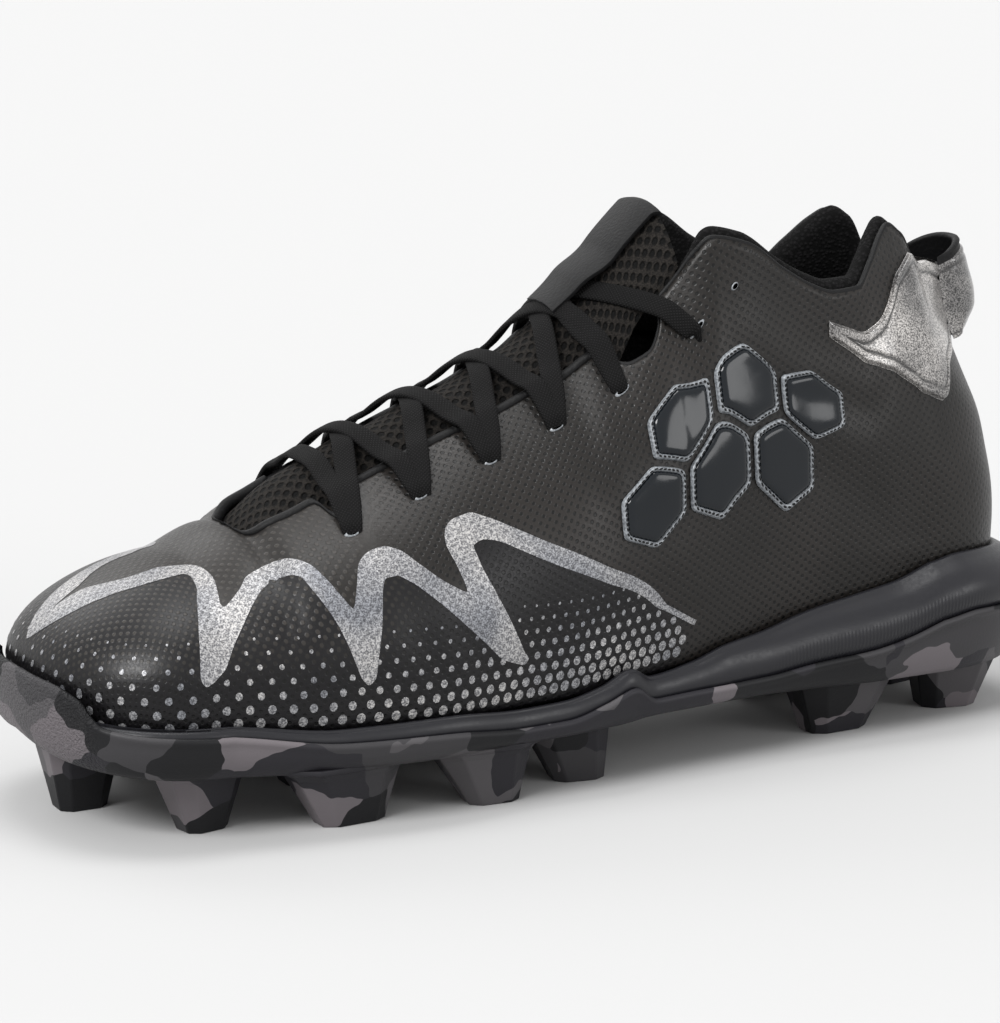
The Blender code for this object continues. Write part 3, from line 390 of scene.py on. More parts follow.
def mouldedFoam():
    # Compression-moulded EVA with a skin: black, semi-gloss, a faint orange peel
    made = newMaterial("mouldedFoam", "#19191d", 0.38, Specular_IOR_Level=0.34)
    peel = spots(made, 0.0011, 2.0)
    plug(made, addNode(made, "MapRange", i0=peel, i1=0.0, i2=1.0, i3=0.32, i4=0.42), "Roughness")
    rib = addNode(made, "Attribute", dict(attribute_name="ribs")).outputs["Fac"]
    where = addNode(made, "TexCoord")
    wave = addNode(made, "TexWave", dict(bands_direction="X"), Vector=where.outputs["Object"],
                   Scale=0.31416 / 0.0011, Distortion=0.0)
    both = addNode(made, "Math", dict(operation="MULTIPLY"), i0=wave.outputs["Fac"], i1=rib)
    first = addNode(made, "Bump", Strength=0.35, Distance=0.0003, Height=both)
    plug(made, addNode(made, "Bump", Strength=0.04, Distance=0.0001, Height=peel, Normal=first),
         "Normal")
    return made


def mottledRubber():
    # Injection-moulded hard rubber in four greys that met in the mould: broad patches, firm edges
    made = newMaterial("mottledRubber", "#4b494c", 0.48, Specular_IOR_Level=0.22)
    where = addNode(made, "TexCoord")
    bend = addNode(made, "TexNoise", Vector=where.outputs["Object"], Scale=70.0, Detail=2.0)
    moved = addNode(made, "VectorMath", dict(operation="MULTIPLY_ADD"), i0=bend.outputs["Color"],
                    i1=(0.014, 0.014, 0.014), i2=where.outputs["Object"])
    patch = addNode(made, "TexVoronoi", Vector=moved, Scale=60.0)
    part = addNode(made, "SeparateColor", i0=patch.outputs["Color"])
    ramp = addNode(made, "ValToRGB", Fac=part.outputs[0])
    ramp.color_ramp.interpolation = "CONSTANT"
    shades = ((0.0, "#141416"), (0.30, "#343335"), (0.52, "#605b5e"), (0.68, "#232226"),
              (0.84, "#484648"))
    for k, (at, shade) in enumerate(shades):
        stop = ramp.color_ramp.elements[k] if k < 2 else ramp.color_ramp.elements.new(at)
        stop.position, stop.color = at, linear(shade)
    plug(made, ramp, "Base Color")
    grain = spots(made, 0.0008, 3.0)
    rough = addNode(made, "Attribute", dict(attribute_name="rough")).outputs["Fac"]
    amount = addNode(made, "MapRange", i0=rough, i1=0.0, i2=1.0, i3=0.06, i4=1.0)
    bump = addNode(made, "Bump", Distance=0.0004, Height=grain)
    made.node_tree.links.new(amount.outputs[0], bump.inputs["Strength"])
    plug(made, bump, "Normal")
    return made


def knitLining():
    # Polyester circular knit over foam: black, dull, fine courses
    made = newMaterial("knitLining", "#0e0e0e", 0.95, Specular_IOR_Level=0.15)
    where = addNode(made, "TexCoord")
    cells = addNode(made, "TexVoronoi", Vector=where.outputs["Object"], Scale=900.0)
    shade = addNode(made, "MapRange", i0=cells.outputs["Distance"], i1=0.1, i2=0.6, i3=0.0, i4=1.0)
    plug(made, addNode(made, "MixRGB", i0=shade, i1=linear("#151415"), i2=linear("#040404")),
         "Base Color")
    plug(made, addNode(made, "Bump", {"invert": True}, Strength=0.6, Distance=0.0004, Height=shade),
         "Normal")
    return made


def spacerMesh():
    # Warp-knit spacer mesh: ropes of yarn round rows of open diamond holes painted near-black as painted
    # shade, matt black-brown
    made = newMaterial("spacerMesh", "#1a1816", 0.85, Specular_IOR_Level=0.15)
    lay = addNode(made, "UVMap", dict(uv_map="lay"))
    place2 = addNode(made, "Mapping", i0=lay, Rotation=(0, 0, math.radians(45)),
                     Scale=(1 / 0.0029, 1 / 0.0029, 1))
    part = addNode(made, "VectorMath", dict(operation="FRACTION"), i0=place2)
    middle = addNode(made, "VectorMath", dict(operation="SUBTRACT"), i0=part, i1=(0.5, 0.5, 0))
    away = addNode(made, "VectorMath", dict(operation="LENGTH"), i0=middle)
    holeShade = addNode(made, "MapRange", dict(interpolation_type="SMOOTHSTEP"),
                   i0=away.outputs["Value"], i1=0.20, i2=0.42, i3=1.0, i4=0.0)
    yarn = spots(made, 0.0005, 3.0)
    rope = addNode(made, "MixRGB", i0=yarn, i1=linear("#0f0d0c"), i2=linear("#24211e"))
    # Open holes painted near-black: painted shade inside the mesh
    plug(made, addNode(made, "MixRGB", i0=holeShade, i1=rope, i2=linear("#030303")), "Base Color")
    first = addNode(made, "Bump", {"invert": True}, Strength=1.0, Distance=0.0012, Height=holeShade)
    plug(made, addNode(made, "Bump", Strength=0.3, Distance=0.0003, Height=yarn, Normal=first),
         "Normal")
    return made


def wovenTape(name, code, rough):
    # Flat polyester weave: fine crossing threads, dull black
    made = newMaterial(name, code, rough, Specular_IOR_Level=0.15)
    lay = addNode(made, "UVMap", dict(uv_map="lay"))
    place2 = addNode(made, "Mapping", i0=lay, Rotation=(0, 0, math.radians(45)),
                     Scale=(1 / 0.00075, 1 / 0.00075, 1))
    checks = addNode(made, "TexWave", dict(bands_direction="X"), Vector=place2, Scale=0.32)
    other = addNode(made, "TexWave", dict(bands_direction="Y"), Vector=place2, Scale=0.32)
    both = addNode(made, "Math", dict(operation="MULTIPLY"), i0=checks.outputs["Fac"],
                   i1=other.outputs["Fac"])
    plug(made, addNode(made, "MixRGB", i0=both, i1=linear("#050505"), i2=linear("#181718")),
         "Base Color")
    plug(made, addNode(made, "Bump", Strength=0.7, Distance=0.0003, Height=both), "Normal")
    return made


def glossFilm():
    # Cast TPU film over foam: deep blue-black, wet gloss, faint dents
    made = newMaterial("glossFilm", "#0a0f14", 0.14, Specular_IOR_Level=0.34)
    dents = spots(made, 0.006, 1.0)
    plug(made, addNode(made, "Bump", Strength=0.03, Distance=0.0004, Height=dents), "Normal")
    return made


def paddedRim():
    # Grey film edge with a stitched channel
    made = newMaterial("paddedRim", "#6d7075", 0.35, Specular_IOR_Level=0.6)
    grain = spots(made, 0.0007, 2.0)
    plug(made, addNode(made, "MixRGB", i0=grain, i1=linear("#54575b"), i2=linear("#888c90")),
         "Base Color")
    return made


def flakedFilm():
    # Clear TPU over metal flake: bright specks in a dark grey, glossy top; the pressed groove painted
    # near-black as painted shade
    made = newMaterial("flakedFilm", "#5c5a5d", 0.30, Metallic=0.15, Coat_Weight=0.6,
                       Coat_Roughness=0.12)
    flakes = spots(made, 0.00042, 1.0, 0.36, 0.66)
    cloud = spots(made, 0.020)
    dark = addNode(made, "MixRGB", i0=flakes, i1=linear("#151415"), i2=linear("#6f6d6c"))
    light = addNode(made, "MixRGB", i0=flakes, i1=linear("#4a4847"), i2=linear("#c6c2be"))
    film = addNode(made, "MixRGB", i0=cloud, i1=dark, i2=light)
    # Pressed groove painted near-black: painted shade
    grooveShade = addNode(made, "Attribute", dict(attribute_name="grooveShade")).outputs["Fac"]
    plug(made, addNode(made, "MixRGB", i0=grooveShade, i1=film, i2=linear("#060607")), "Base Color")
    return made


def blackEdge():
    # Folded and edge-painted synthetic: black, slightly shiny
    made = newMaterial("blackEdge", "#0b0b0c", 0.55, Specular_IOR_Level=0.2)
    grain = spots(made, 0.0009, 2.0)
    plug(made, addNode(made, "Bump", Strength=0.3, Distance=0.0002, Height=grain), "Normal")
    return made


finish = dict(skin=coatedSynthetic(), ink=silverInk(), foam=mouldedFoam(), rubber=mottledRubber(),
              knit=knitLining(), mesh=spacerMesh(), tape=wovenTape("wovenTape", "#141416", 0.75),
              lace=wovenTape("laceWeave", "#121213", 0.8), gloss=glossFilm(), rim=paddedRim(),
              flake=flakedFilm(), edge=blackEdge(),
              # Near-black material for the insides of the eyelets: painted shade
              holeShade=newMaterial("shadedHole", "#020202", 0.9, Specular_IOR_Level=0.0))
print("materials made")


# Upper: one skin from the sole cup to the edge, with listed soft creases
upperSkin = dict(toeColumns=26, sideColumns=230, heelColumns=26, lowRows=16, highRows=46,
                 wall=0.0018, sink=-0.60)
# A soft trough from one place to another: along, up, along, up, width and depth in millimetres
creases = dict(
    fromAt=(0.330, 0.375, 0.410, 0.455, 0.500, 0.560, 0.640, 0.700, 0.730, 0.780, 0.870),
    fromUp=(-0.10, -0.12, -0.15, -0.16, 0.36, 0.30, 0.62, 0.30, 0.60, 0.10, 0.30),
    toAt=(0.305, 0.345, 0.440, 0.500, 0.575, 0.625, 0.735, 0.790, 0.800, 0.850, 0.960),
    toUp=(0.22, 0.18, 0.10, 0.06, 0.20, 0.12, 0.50, 0.12, 0.42, 0.02, 0.20),
    wide=(5.0, 4.5, 5.5, 5.0, 7.0, 6.5, 6.0, 7.0, 5.0, 6.0, 7.0),
    deep=(0.30, 0.35, 0.40, 0.35, 0.45, 0.40, 0.55, 0.45, 0.40, 0.35, 0.40))


def creaseDepth(at, v):  # sum of bell-shaped troughs, each along its own short line
    depth = 0 * at
    for a0, v0, a1, v1, wide, deep in zip(*(creases[key] for key in creases)):
        ax, ay = (a1 - a0) * 302, (v1 - v0) * 70
        px, py = (at - a0) * 302, (v - v0) * 70
        share = (px * ax + py * ay) / (ax * ax + ay * ay)
        near = np.clip(share, 0, 1)
        away = np.hypot(px - near * ax, py - near * ay)
        ends = smoothStep(share, -0.3, 0.3) * (1 - smoothStep(share, 0.7, 1.3))
        depth = depth + deep * ends * (np.exp(-(away / wide) ** 2)
                                       - 0.45 * np.exp(-((away - wide * 1.7) / wide) ** 2))
    return depth / 1000


def dressed(at, v, side, lift=0.0):  # the skin with its creases, lifted by a height
    at, v, side = np.broadcast_arrays(np.asarray(at, float), np.asarray(v, float),
                                      np.asarray(side, float))
    return skin(at, v, side, lift - creaseDepth(at, v))


def inside(at, v, loopAt, loopV):  # even-odd test against a closed loop of places
    hit = np.zeros(at.shape, bool)
    for k in range(len(loopAt)):
        a0, v0, a1, v1 = loopAt[k - 1], loopV[k - 1], loopAt[k], loopV[k]
        if v0 != v1:
            cross = (v0 > v) != (v1 > v)
            hit ^= cross & (at < (a1 - a0) * (v - v0) / (v1 - v0) + a0)
    return hit


# The photograph's camera: turn, height and roll in degrees, where it looks, its lens and shift
studio = dict(azimuth=-26, height=12.6, roll=-0.5, aim=(-0.01169, 0.00116, 0.070), away=1.0,
              lens=129.5, sensor=36, shiftX=0.0072, shiftY=-0.0072, wide=1000, tall=1023)


def cameraAxes():  # right, up and backward directions of the camera, and its place
    a, e, r = (math.radians(studio[name]) for name in ("azimuth", "height", "roll"))
    back = np.array([math.sin(a) * math.cos(e), -math.cos(a) * math.cos(e), math.sin(e)])
    right = np.array([math.cos(a), math.sin(a), 0])
    up = np.cross(back, right)
    right, up = right * math.cos(r) + up * math.sin(r), up * math.cos(r) - right * math.sin(r)
    return right, up, back, np.array(studio["aim"]) + back * studio["away"]


def seenAt(points):  # pixel of a place: sideways offset over depth, times the lens in pixels
    right, up, back, eye = cameraAxes()
    ray = points - eye
    scale = studio["lens"] / studio["sensor"] * studio["tall"] / -(ray @ back)
    x = studio["wide"] / 2 - studio["shiftX"] * studio["tall"] + (ray @ right) * scale
    y = studio["tall"] / 2 + studio["shiftY"] * studio["tall"] - (ray @ up) * scale
    return np.stack([x, y], -1)


# Zigzag print: pixels on its upper and lower edges in the photograph, read in matched order
zigzag = dict(
    topSeen=((158, 567.5), (185, 565), (203.5, 569), (213, 578), (217.5, 592), (220, 603.5),
             (222, 606), (224.5, 607), (227, 605), (240.5, 587.5), (246, 577), (254, 571.5),
             (261, 567.5), (268, 564.5), (275, 561.5), (282, 559.5), (290, 558.5), (309.5, 564.5),
             (327.5, 580.5), (341.5, 596.5), (350, 606), (353, 608.5), (354.5, 605), (356.5, 589),
             (359, 563), (366, 553.5), (374, 549), (382.5, 546.5), (399, 550), (418, 563),
             (441.5, 579.5), (463, 591), (467.5, 592.5), (466.5, 588), (458, 568), (446, 544.5),
             (445, 530), (453.5, 518.5), (467.5, 513), (486.5, 517), (519.5, 530), (566.5, 549),
             (611.5, 568), (658.5, 594), (696.5, 620)),
    lowSeen=((158, 580.5), (180.5, 574.5), (191, 577), (195.5, 585), (197, 603.5), (199, 638),
             (200.5, 677), (207, 687), (213, 683.5), (233.5, 647), (251, 608), (257, 597),
             (262, 589.5), (268, 584), (274, 580.5), (280, 578), (287, 576), (300, 577),
             (314, 592), (334.5, 619.5), (362, 679), (369, 685), (375.5, 679), (379, 655),
             (382.5, 622), (383, 589), (387, 578), (396.5, 576), (411, 582), (434.5, 598.5),
             (462.5, 622), (516, 663.5), (524, 665), (529, 658.5), (514.5, 629), (495.5, 591.5),
             (481.5, 565.5), (473.5, 546.5), (481.5, 540), (495.5, 540.5), (529, 553.5),
             (571, 570), (606.5, 583), (654, 605.5), (694, 625)),
    # Round the toe the print runs out of sight, so its places there are given shares
    topToe=((0.0, 0.26), (0.0, 0.45), (0.003, 0.62), (0.036, 0.76)),
    lowToe=((0.0, 0.24), (0.013, 0.42), (0.034, 0.60), (0.058, 0.69)),
    steps=10, across=10, lift=0.00010, facing=0.02)
# Share grid that is searched for the place seen at a pixel
search = dict(at=np.linspace(0.05, 0.65, 601), v=np.linspace(-0.5, 1.0, 301))


def skinUnder(pixels):  # nearest visible grid place to each pixel, moved by the slopes along and up
    a, b = np.meshgrid(search["at"], search["v"], indexing="ij")
    points = skin(a, b, -1.0)
    seen = seenAt(points)
    turned = np.cross(np.gradient(points, axis=0), np.gradient(points, axis=1))
    turned /= np.linalg.norm(turned, axis=-1, keepdims=True) + 1e-12
    turned *= -np.sign(turned[..., 1:2].mean())
    hidden = turned @ cameraAxes()[2] < zigzag["facing"]
    far = np.where(hidden, 1e8, 0.0)
    near = [np.argmin(((seen - pixel) ** 2).sum(-1) + far) for pixel in np.array(pixels)]
    k = np.unravel_index(near, a.shape)
    along, upward = np.gradient(seen, axis=0)[k], np.gradient(seen, axis=1)[k]
    left = np.array(pixels) - seen[k]
    area = along[:, 0] * upward[:, 1] - along[:, 1] * upward[:, 0]
    stepAt = (left[:, 0] * upward[:, 1] - left[:, 1] * upward[:, 0]) / area
    stepV = (along[:, 0] * left[:, 1] - along[:, 1] * left[:, 0]) / area
    gridAt, gridV = search["at"][1] - search["at"][0], search["v"][1] - search["v"][0]
    return np.stack([a[k] + np.clip(stepAt, -1, 1) * gridAt, b[k] + np.clip(stepV, -1, 1) * gridV], -1)


def zigzagLine(toe, seen):  # smooth line through the places round the toe and those seen
    knots = np.concatenate([zigzag[toe], skinUnder(zigzag[seen])])
    order = np.arange(len(knots))
    fine = np.linspace(0, order[-1], order[-1] * zigzag["steps"] + 1)
    return [column(dict(at=order, value=knots[:, axis]), "value", fine) for axis in (0, 1)]


bandTop = zigzagLine("topToe", "topSeen")
bandLow = zigzagLine("lowToe", "lowSeen")


def underBand(at, v, share=0.5):  # whether a place is below the print's lower, middle or top line
    loopAt = bandLow[0] * (1 - share) + bandTop[0] * share
    loopV = bandLow[1] * (1 - share) + bandTop[1] * share
    return inside(at, v, np.concatenate([loopAt, [0.60, 0.60, -0.01, -0.01]]),
                  np.concatenate([loopV, [-0.25, -1.1, -1.1, 0.25]]))


def buildUpper():
    p = upperSkin
    at = np.concatenate([np.linspace(0, last["toeAt"], p["toeColumns"])[:-1],
                         np.linspace(last["toeAt"], last["heelAt"], p["sideColumns"])[:-1],
                         np.linspace(last["heelAt"], 1, p["heelColumns"])])
    v = np.concatenate([np.linspace(p["sink"], 0, p["lowRows"])[:-1],
                        np.linspace(0, 1, p["highRows"])])
    a, b = np.meshgrid(at, v, indexing="ij")
    b = np.where(b > 0, b * column(edge, "trim", at)[:, None], b)
    points, faces, uv, under, raisedGlint = [], [], [], [], []
    for side in (-1.0, 1.0):
        faces.append(gridFaces(len(at), len(v), flip=side > 0) + len(faces) * a.size)
        points.append(dressed(a, b, side).reshape(-1, 3))
        uv.append(layOf(a, b, side).reshape(-1, 2))
        under.append((underBand(a, b) * (1 - smoothStep(a, 0.540, 0.600))).ravel())
        # Vamp mask: raised dots here, painted lighter as a painted glint; elsewhere pinholes
        fade = (1 - smoothStep(a, 0.24, 0.34)) * smoothStep(b, 0.0, 0.35)
        raisedGlint.append(fade.ravel())
    item = finishMesh("upperSkin", np.concatenate(points), np.concatenate(faces), finish["skin"],
                      ("upper",), uv=np.concatenate(uv),
                      mixes=dict(under=np.concatenate(under), raisedGlint=np.concatenate(raisedGlint)))
    joinDoubles(item)
    wall = item.modifiers.new("wall", "SOLIDIFY")
    wall.thickness, wall.offset, wall.use_rim = p["wall"], -1, True
    return item


def joinDoubles(item, fill=False, outward=False, away=4e-6):  # merges seams, may close ends
    work = bmesh.new()
    work.from_mesh(item.data)
    bmesh.ops.remove_doubles(work, verts=work.verts, dist=away)
    if fill:
        bmesh.ops.holes_fill(work, edges=work.edges, sides=0)
    if outward:
        bmesh.ops.recalc_face_normals(work, faces=work.faces)
    work.to_mesh(item.data)
    work.free()
    item.data.shade_smooth()
    return item


def buildZigzag():
    share = np.linspace(0, 1, zigzag["across"])[None]
    a = bandTop[0][:, None] * (1 - share) + bandLow[0][:, None] * share
    b = bandTop[1][:, None] * (1 - share) + bandLow[1][:, None] * share
    points, faces, uv = [], [], []
    for side in (-1.0, 1.0):
        faces.append(gridFaces(*a.shape, flip=side < 0) + len(faces) * a.size)
        points.append(dressed(a, b, side, zigzag["lift"]).reshape(-1, 3))
        uv.append(layOf(a, b, side).reshape(-1, 2))
    return finishMesh("zigzagPrint", np.concatenate(points), np.concatenate(faces), finish["ink"],
                      uv=np.concatenate(uv))


# Silver dots under the print: rows up from the sole, smaller and smaller
dotPrint = dict(rowStep=0.0037, firstPitch=0.0060, lastPitch=0.0034, biggest=0.0025, fadeOver=0.031,
                smallest=0.0006, corners=10, lift=0.00008, start=-0.42)


def buildDots():
    p = dotPrint
    points, faces, uv, count = [], [], [], 0
    for side in (-1.0, 1.0):
        run = layArcs[side][1]
        total = np.interp(0.585, layGrid["at"], run)
        fine = np.linspace(0, total, 400)
        pitch = p["firstPitch"] + (p["lastPitch"] - p["firstPitch"]) * smoothStep(fine, 0.05, 0.17)
        steps = np.concatenate([[0], np.cumsum(np.diff(fine) / pitch[:-1])])
        row = np.arange(11)[:, None]
        col = np.arange(int(steps[-1]))[None] + 0.5 * (row % 2)
        at = np.interp(np.interp(col, steps, fine), run, layGrid["at"])
        up = row * p["rowStep"] * (1.0 - 0.15 * smoothStep(at, 0.3, 0.5))
        arcs = layArcs[side][0]
        fromLow = arcs[:, :1] - arcs
        base = np.interp(p["start"], layGrid["v"], np.arange(181.0))
        offset = np.array([np.interp(base, np.arange(181.0), line) for line in fromLow])
        want = up + np.interp(at, layGrid["at"], offset)
        index = np.minimum((at * 400).astype(int), 400)
        v = np.array([[np.interp(w, fromLow[k], layGrid["v"]) for w, k in zip(*pair)]
                      for pair in zip(want, index)])
        size = p["biggest"] * (1 - up / p["fadeOver"]) * (1 + 0.1 * smoothStep(at, 0.3, 0.5))
        keep = underBand(at, v, 0.0) & (size > p["smallest"]) & (at > 0.003)
        at, v, size = at[keep], v[keep], size[keep]
        turn = np.arange(p["corners"]) * 2 * math.pi / p["corners"]
        alongSize = np.interp(at, layGrid["at"], np.gradient(run, layGrid["at"]))
        upSize = np.abs(lookUp(np.gradient(arcs, layGrid["v"], axis=1), at, v))
        a = at[:, None] + np.cos(turn) * (size / 2 / alongSize)[:, None]
        b = v[:, None] + np.sin(turn) * (size * 0.58 / upSize)[:, None]
        a, b = np.concatenate([a, at[:, None]], 1), np.concatenate([b, v[:, None]], 1)
        a = np.abs(a)
        block = dressed(a, b, side, p["lift"])
        n, m = a.shape
        k, j = np.meshgrid(np.arange(n), np.arange(m - 1), indexing="ij")
        fan = np.stack([k * m + m - 1, k * m + j, k * m + (j + 1) % (m - 1)], -1).reshape(-1, 3)
        faces.append((fan if side < 0 else fan[:, ::-1]) + count)
        points.append(block.reshape(-1, 3))
        uv.append(layOf(a, b, side).reshape(-1, 2))
        count += a.size
    return finishMesh("dotPrint", np.concatenate(points), np.concatenate(faces), finish["ink"],
                      uv=np.concatenate(uv))


buildUpper()
buildZigzag()
buildDots()
print("upper and its prints made")


# Sole: foam cup with its bulge, and the rubber plate, lip, toe bumper and studs under it
sole = dict(plate=0.0025, rimWall=0.0022, lipWall=0.0018, lipHeight=0.0014, capHeight=0.0090,
            columns=520)
toeCap = dict(at=(0.000, 0.040, 0.058, 0.075, 0.100), cap=(1.000, 0.950, 0.700, 0.080, 0.000))


def ringStations(count):  # stations round the whole shoe, lateral side first
    half = np.concatenate([np.linspace(0, last["toeAt"], count // 8)[:-1],
                           np.linspace(last["toeAt"], last["heelAt"], count // 4 + 1)[:-1],
                           np.linspace(last["heelAt"], 1, count // 8)])
    at = np.concatenate([half, half[-2:0:-1]])
    side = np.concatenate([-np.ones(len(half)), np.ones(len(half) - 2)])
    return at, side


def soleLines(at, side):  # levels and reaches of the sole round the shoe
    s = station(at, side)
    low = sideCurves(s)[0]
    rim = soleLevel(rims, "rim", at)
    share = np.linspace(0, 1, 61)
    heights = bezier(*(p[1][:, None] for p in low), share[None])
    t = np.array([np.interp(z, line, share) for z, line in zip(rim, heights)])
    cup = curvePoint(low, t, 0.0005)[0]
    seam = soleLevel(rims, "seam", at)
    under = soleLevel(floors, "under", at)
    topOut = cup + sole["rimWall"]
    seamOut = topOut + column(floors, "flare", at) * last["soleHeight"] - 0.0005
    bulge = column(floors, "bulge", at) * last["soleHeight"]
    middleOut = (topOut + seamOut) / 2 + bulge
    return s, low, dict(rim=rim, share=t, cup=cup, seam=seam, under=under, topOut=topOut,
                        seamOut=seamOut, middleOut=middleOut)


def sideReach(q, quantity):  # outer reach of the foam at share q from the seam to the rim
    three = np.stack([quantity["seamOut"], quantity["middleOut"], quantity["topOut"]])
    t = np.clip(q, 0, 1)
    curve = three[0] * (1 - t) * (1 - 2 * t) + three[1] * 4 * t * (1 - t) + three[2] * t * (2 * t - 1)
    return curve


def buildMidsole():
    at, side = ringStations(sole["columns"])
    s, low, k = soleLines(at, side)
    inner = np.clip(at, last["toeAt"], last["heelAt"])
    height = k["rim"] - k["seam"]
    tall = smoothStep(at, 0.52, 0.66)
    rows, ribs = [], []
    plateTop = soleLevel(floors, "under", inner) + sole["plate"] + 0.0003
    rows.append(place(s, 0 * at, plateTop))
    rows.append(place(s, k["seamOut"] * 0.86, k["under"] + sole["plate"] + 0.0003))
    for q in (0.0, 0.05, 0.12, 0.20, 0.30, 0.40, 0.50, 0.57, 0.60, 0.63, 0.66, 0.70, 0.76, 0.84,
              0.90, 0.945):
        step = 0.0005 * tall * (math.exp(-((q - 0.90) / 0.03) ** 2))
        roll = -0.0006 * smoothStep(np.float64(q), 0.88, 0.95)
        rows.append(place(s, sideReach(q, k) - step + roll, k["seam"] + height * q))
        ribs.append(q)
    top = k["topOut"]
    rows.append(place(s, top - 0.0003, k["rim"] - 0.0002))
    rows.append(place(s, top - 0.0009, k["rim"] + 0.0001))
    rows.append(place(s, k["cup"] + 0.0002, k["rim"] - 0.0001))
    for t in (0.7, 0.35, 0.0):
        rows.append(place(s, *curvePoint(low, k["share"] * t, 0.0005)))
    rows.append(place(s, 0 * at, soleLevel(floors, "bed", inner)))
    points = np.stack(rows, 1)
    amount = np.zeros(points.shape[:2])
    q = np.array(ribs)[None]
    zone = smoothStep(at, 0.66, 0.70) * (1 - smoothStep(at, 0.84, 0.88))
    amount[:, 2:2 + len(ribs)] = (zone[:, None] * smoothStep(q, 0.08, 0.16)
                                  * (1 - smoothStep(q, 0.44, 0.54)))
    item = finishMesh("midsoleFoam", points.reshape(-1, 3),
                      gridFaces(*points.shape[:2], roundM=True), finish["foam"],
                      ("midsole",), mixes=dict(ribs=amount.ravel()))
    return joinDoubles(item, outward=True)


def buildPlate():
    at, side = ringStations(sole["columns"])
    s, low, k = soleLines(at, side)
    inner = np.clip(at, last["toeAt"], last["heelAt"])
    cap = column(toeCap, "cap", at) * sole["capHeight"] + sole["lipHeight"]
    height = k["rim"] - k["seam"]
    tall = smoothStep(cap, 0.002, 0.006)
    ease = 0.0003 + 0.0011 * tall
    wall = sole["lipWall"] * (1 + 0.5 * tall)
    capZ = k["seam"] + cap
    rows = [place(s, 0 * at, soleLevel(floors, "under", inner) + sole["plate"]),
            place(s, k["seamOut"] * 0.86, k["under"] + sole["plate"]),
            place(s, k["seamOut"] + 0.0003, k["seam"] - 0.0003)]
    widest = 0 * at
    for q in (0.33, 0.66, 1.0):
        z = k["seam"] + cap * q
        reach = sideReach((z - k["seam"]) / height, k)
        reach = np.where(z > k["rim"], np.maximum(reach, widest), reach)
        widest = np.maximum(widest, reach)
        rows.append(place(s, reach + ease, z))
    for out, drop in ((0.25, -0.0003), (0.6, -0.0004), (0.9, 0.0001), (1.0, 0.0009)):
        rows.append(place(s, widest + wall * out, capZ - drop))
    for q in (0.75, 0.5, 0.25):
        z = k["seam"] - 0.001 + (capZ - 0.0009 - k["seam"] + 0.001) * q
        reach = (widest + wall) * q + (k["seamOut"] + sole["lipWall"]) * (1 - q)
        rows.append(place(s, reach + 0.0006 * tall * 4 * q * (1 - q), z))
    underOut = k["seamOut"] * 0.94
    lipOut = k["seamOut"] + sole["lipWall"]
    for q in (0.0, 0.12, 0.3, 0.5, 0.7, 0.88, 1.0):
        bow = 4 * q * (1 - q) * 0.0008
        rows.append(place(s, lipOut * (1 - q) + underOut * q + bow,
                          (k["seam"] - 0.001) * (1 - q) + k["under"] * q - bow * 0.4))
    rows.append(place(s, underOut * 0.85, k["under"]))
    rows.append(place(s, 0 * at, soleLevel(floors, "under", inner)))
    points = np.stack(rows, 1)
    item = finishMesh("solePlate", points.reshape(-1, 3),
                      gridFaces(*points.shape[:2], roundM=True), finish["rubber"],
                      ("outsole",),
                      mixes=dict(rough=(tall[:, None] + 0 * points[..., 0]).ravel()))
    return joinDoubles(item, outward=True)


studs = dict(
    at=(0.064, 0.132, 0.144, 0.246, 0.256, 0.262, 0.376, 0.362, 0.474, 0.456, 0.778, 0.778,
        0.916, 0.916),
    across=(0.130, -0.520, 0.660, -0.750, 0.760, 0.000, -0.760, 0.720, -0.600, 0.540, -0.430,
            0.400, -0.300, 0.300),
    long=(0.022, 0.024, 0.024, 0.032, 0.032, 0.022, 0.028, 0.028, 0.024, 0.024, 0.034, 0.034,
          0.026, 0.026),
    wide=(0.021, 0.019, 0.019, 0.019, 0.019, 0.019, 0.019, 0.019, 0.018, 0.018, 0.019, 0.019,
          0.020, 0.020),
    tipLong=(0.013, 0.012, 0.012, 0.018, 0.018, 0.013, 0.014, 0.014, 0.014, 0.014, 0.018, 0.018,
             0.016, 0.016),
    tipWide=(0.011, 0.010, 0.010, 0.010, 0.010, 0.011, 0.010, 0.010, 0.010, 0.010, 0.011, 0.011,
             0.012, 0.012),
    lean=(0.0, 0.001, 0.001, 0.003, 0.003, 0.002, 0.004, 0.004, 0.004, 0.004, -0.002, -0.002,
          -0.002, -0.002),
    turn=(0, 12, -12, 4, -4, 0, -4, 6, -8, 10, 3, -3, -12, 12))


def underLevel(x, y):  # height of the plate's underside
    at = x / last["length"] + 0.5
    inner = np.clip(at, last["toeAt"], last["heelAt"])
    spine = soleLevel(floors, "under", inner)
    dx = (at - inner) * last["length"]
    turn = np.arctan2(np.abs(dx), np.abs(y) + 1e-9) / (math.pi / 2)
    toeEdge = soleLevel(floors, "under", last["toeAt"] * (1 - turn))
    heelEdge = soleLevel(floors, "under", last["heelAt"] + (1 - last["heelAt"]) * turn)
    out = np.where(dx < 0, toeEdge, heelEdge)
    reach = np.where(dx < 0, last["toeReach"], last["heelReach"])
    return spine + (out - spine) * np.clip(np.hypot(dx, y) / reach, 0, 1) * (dx != 0)


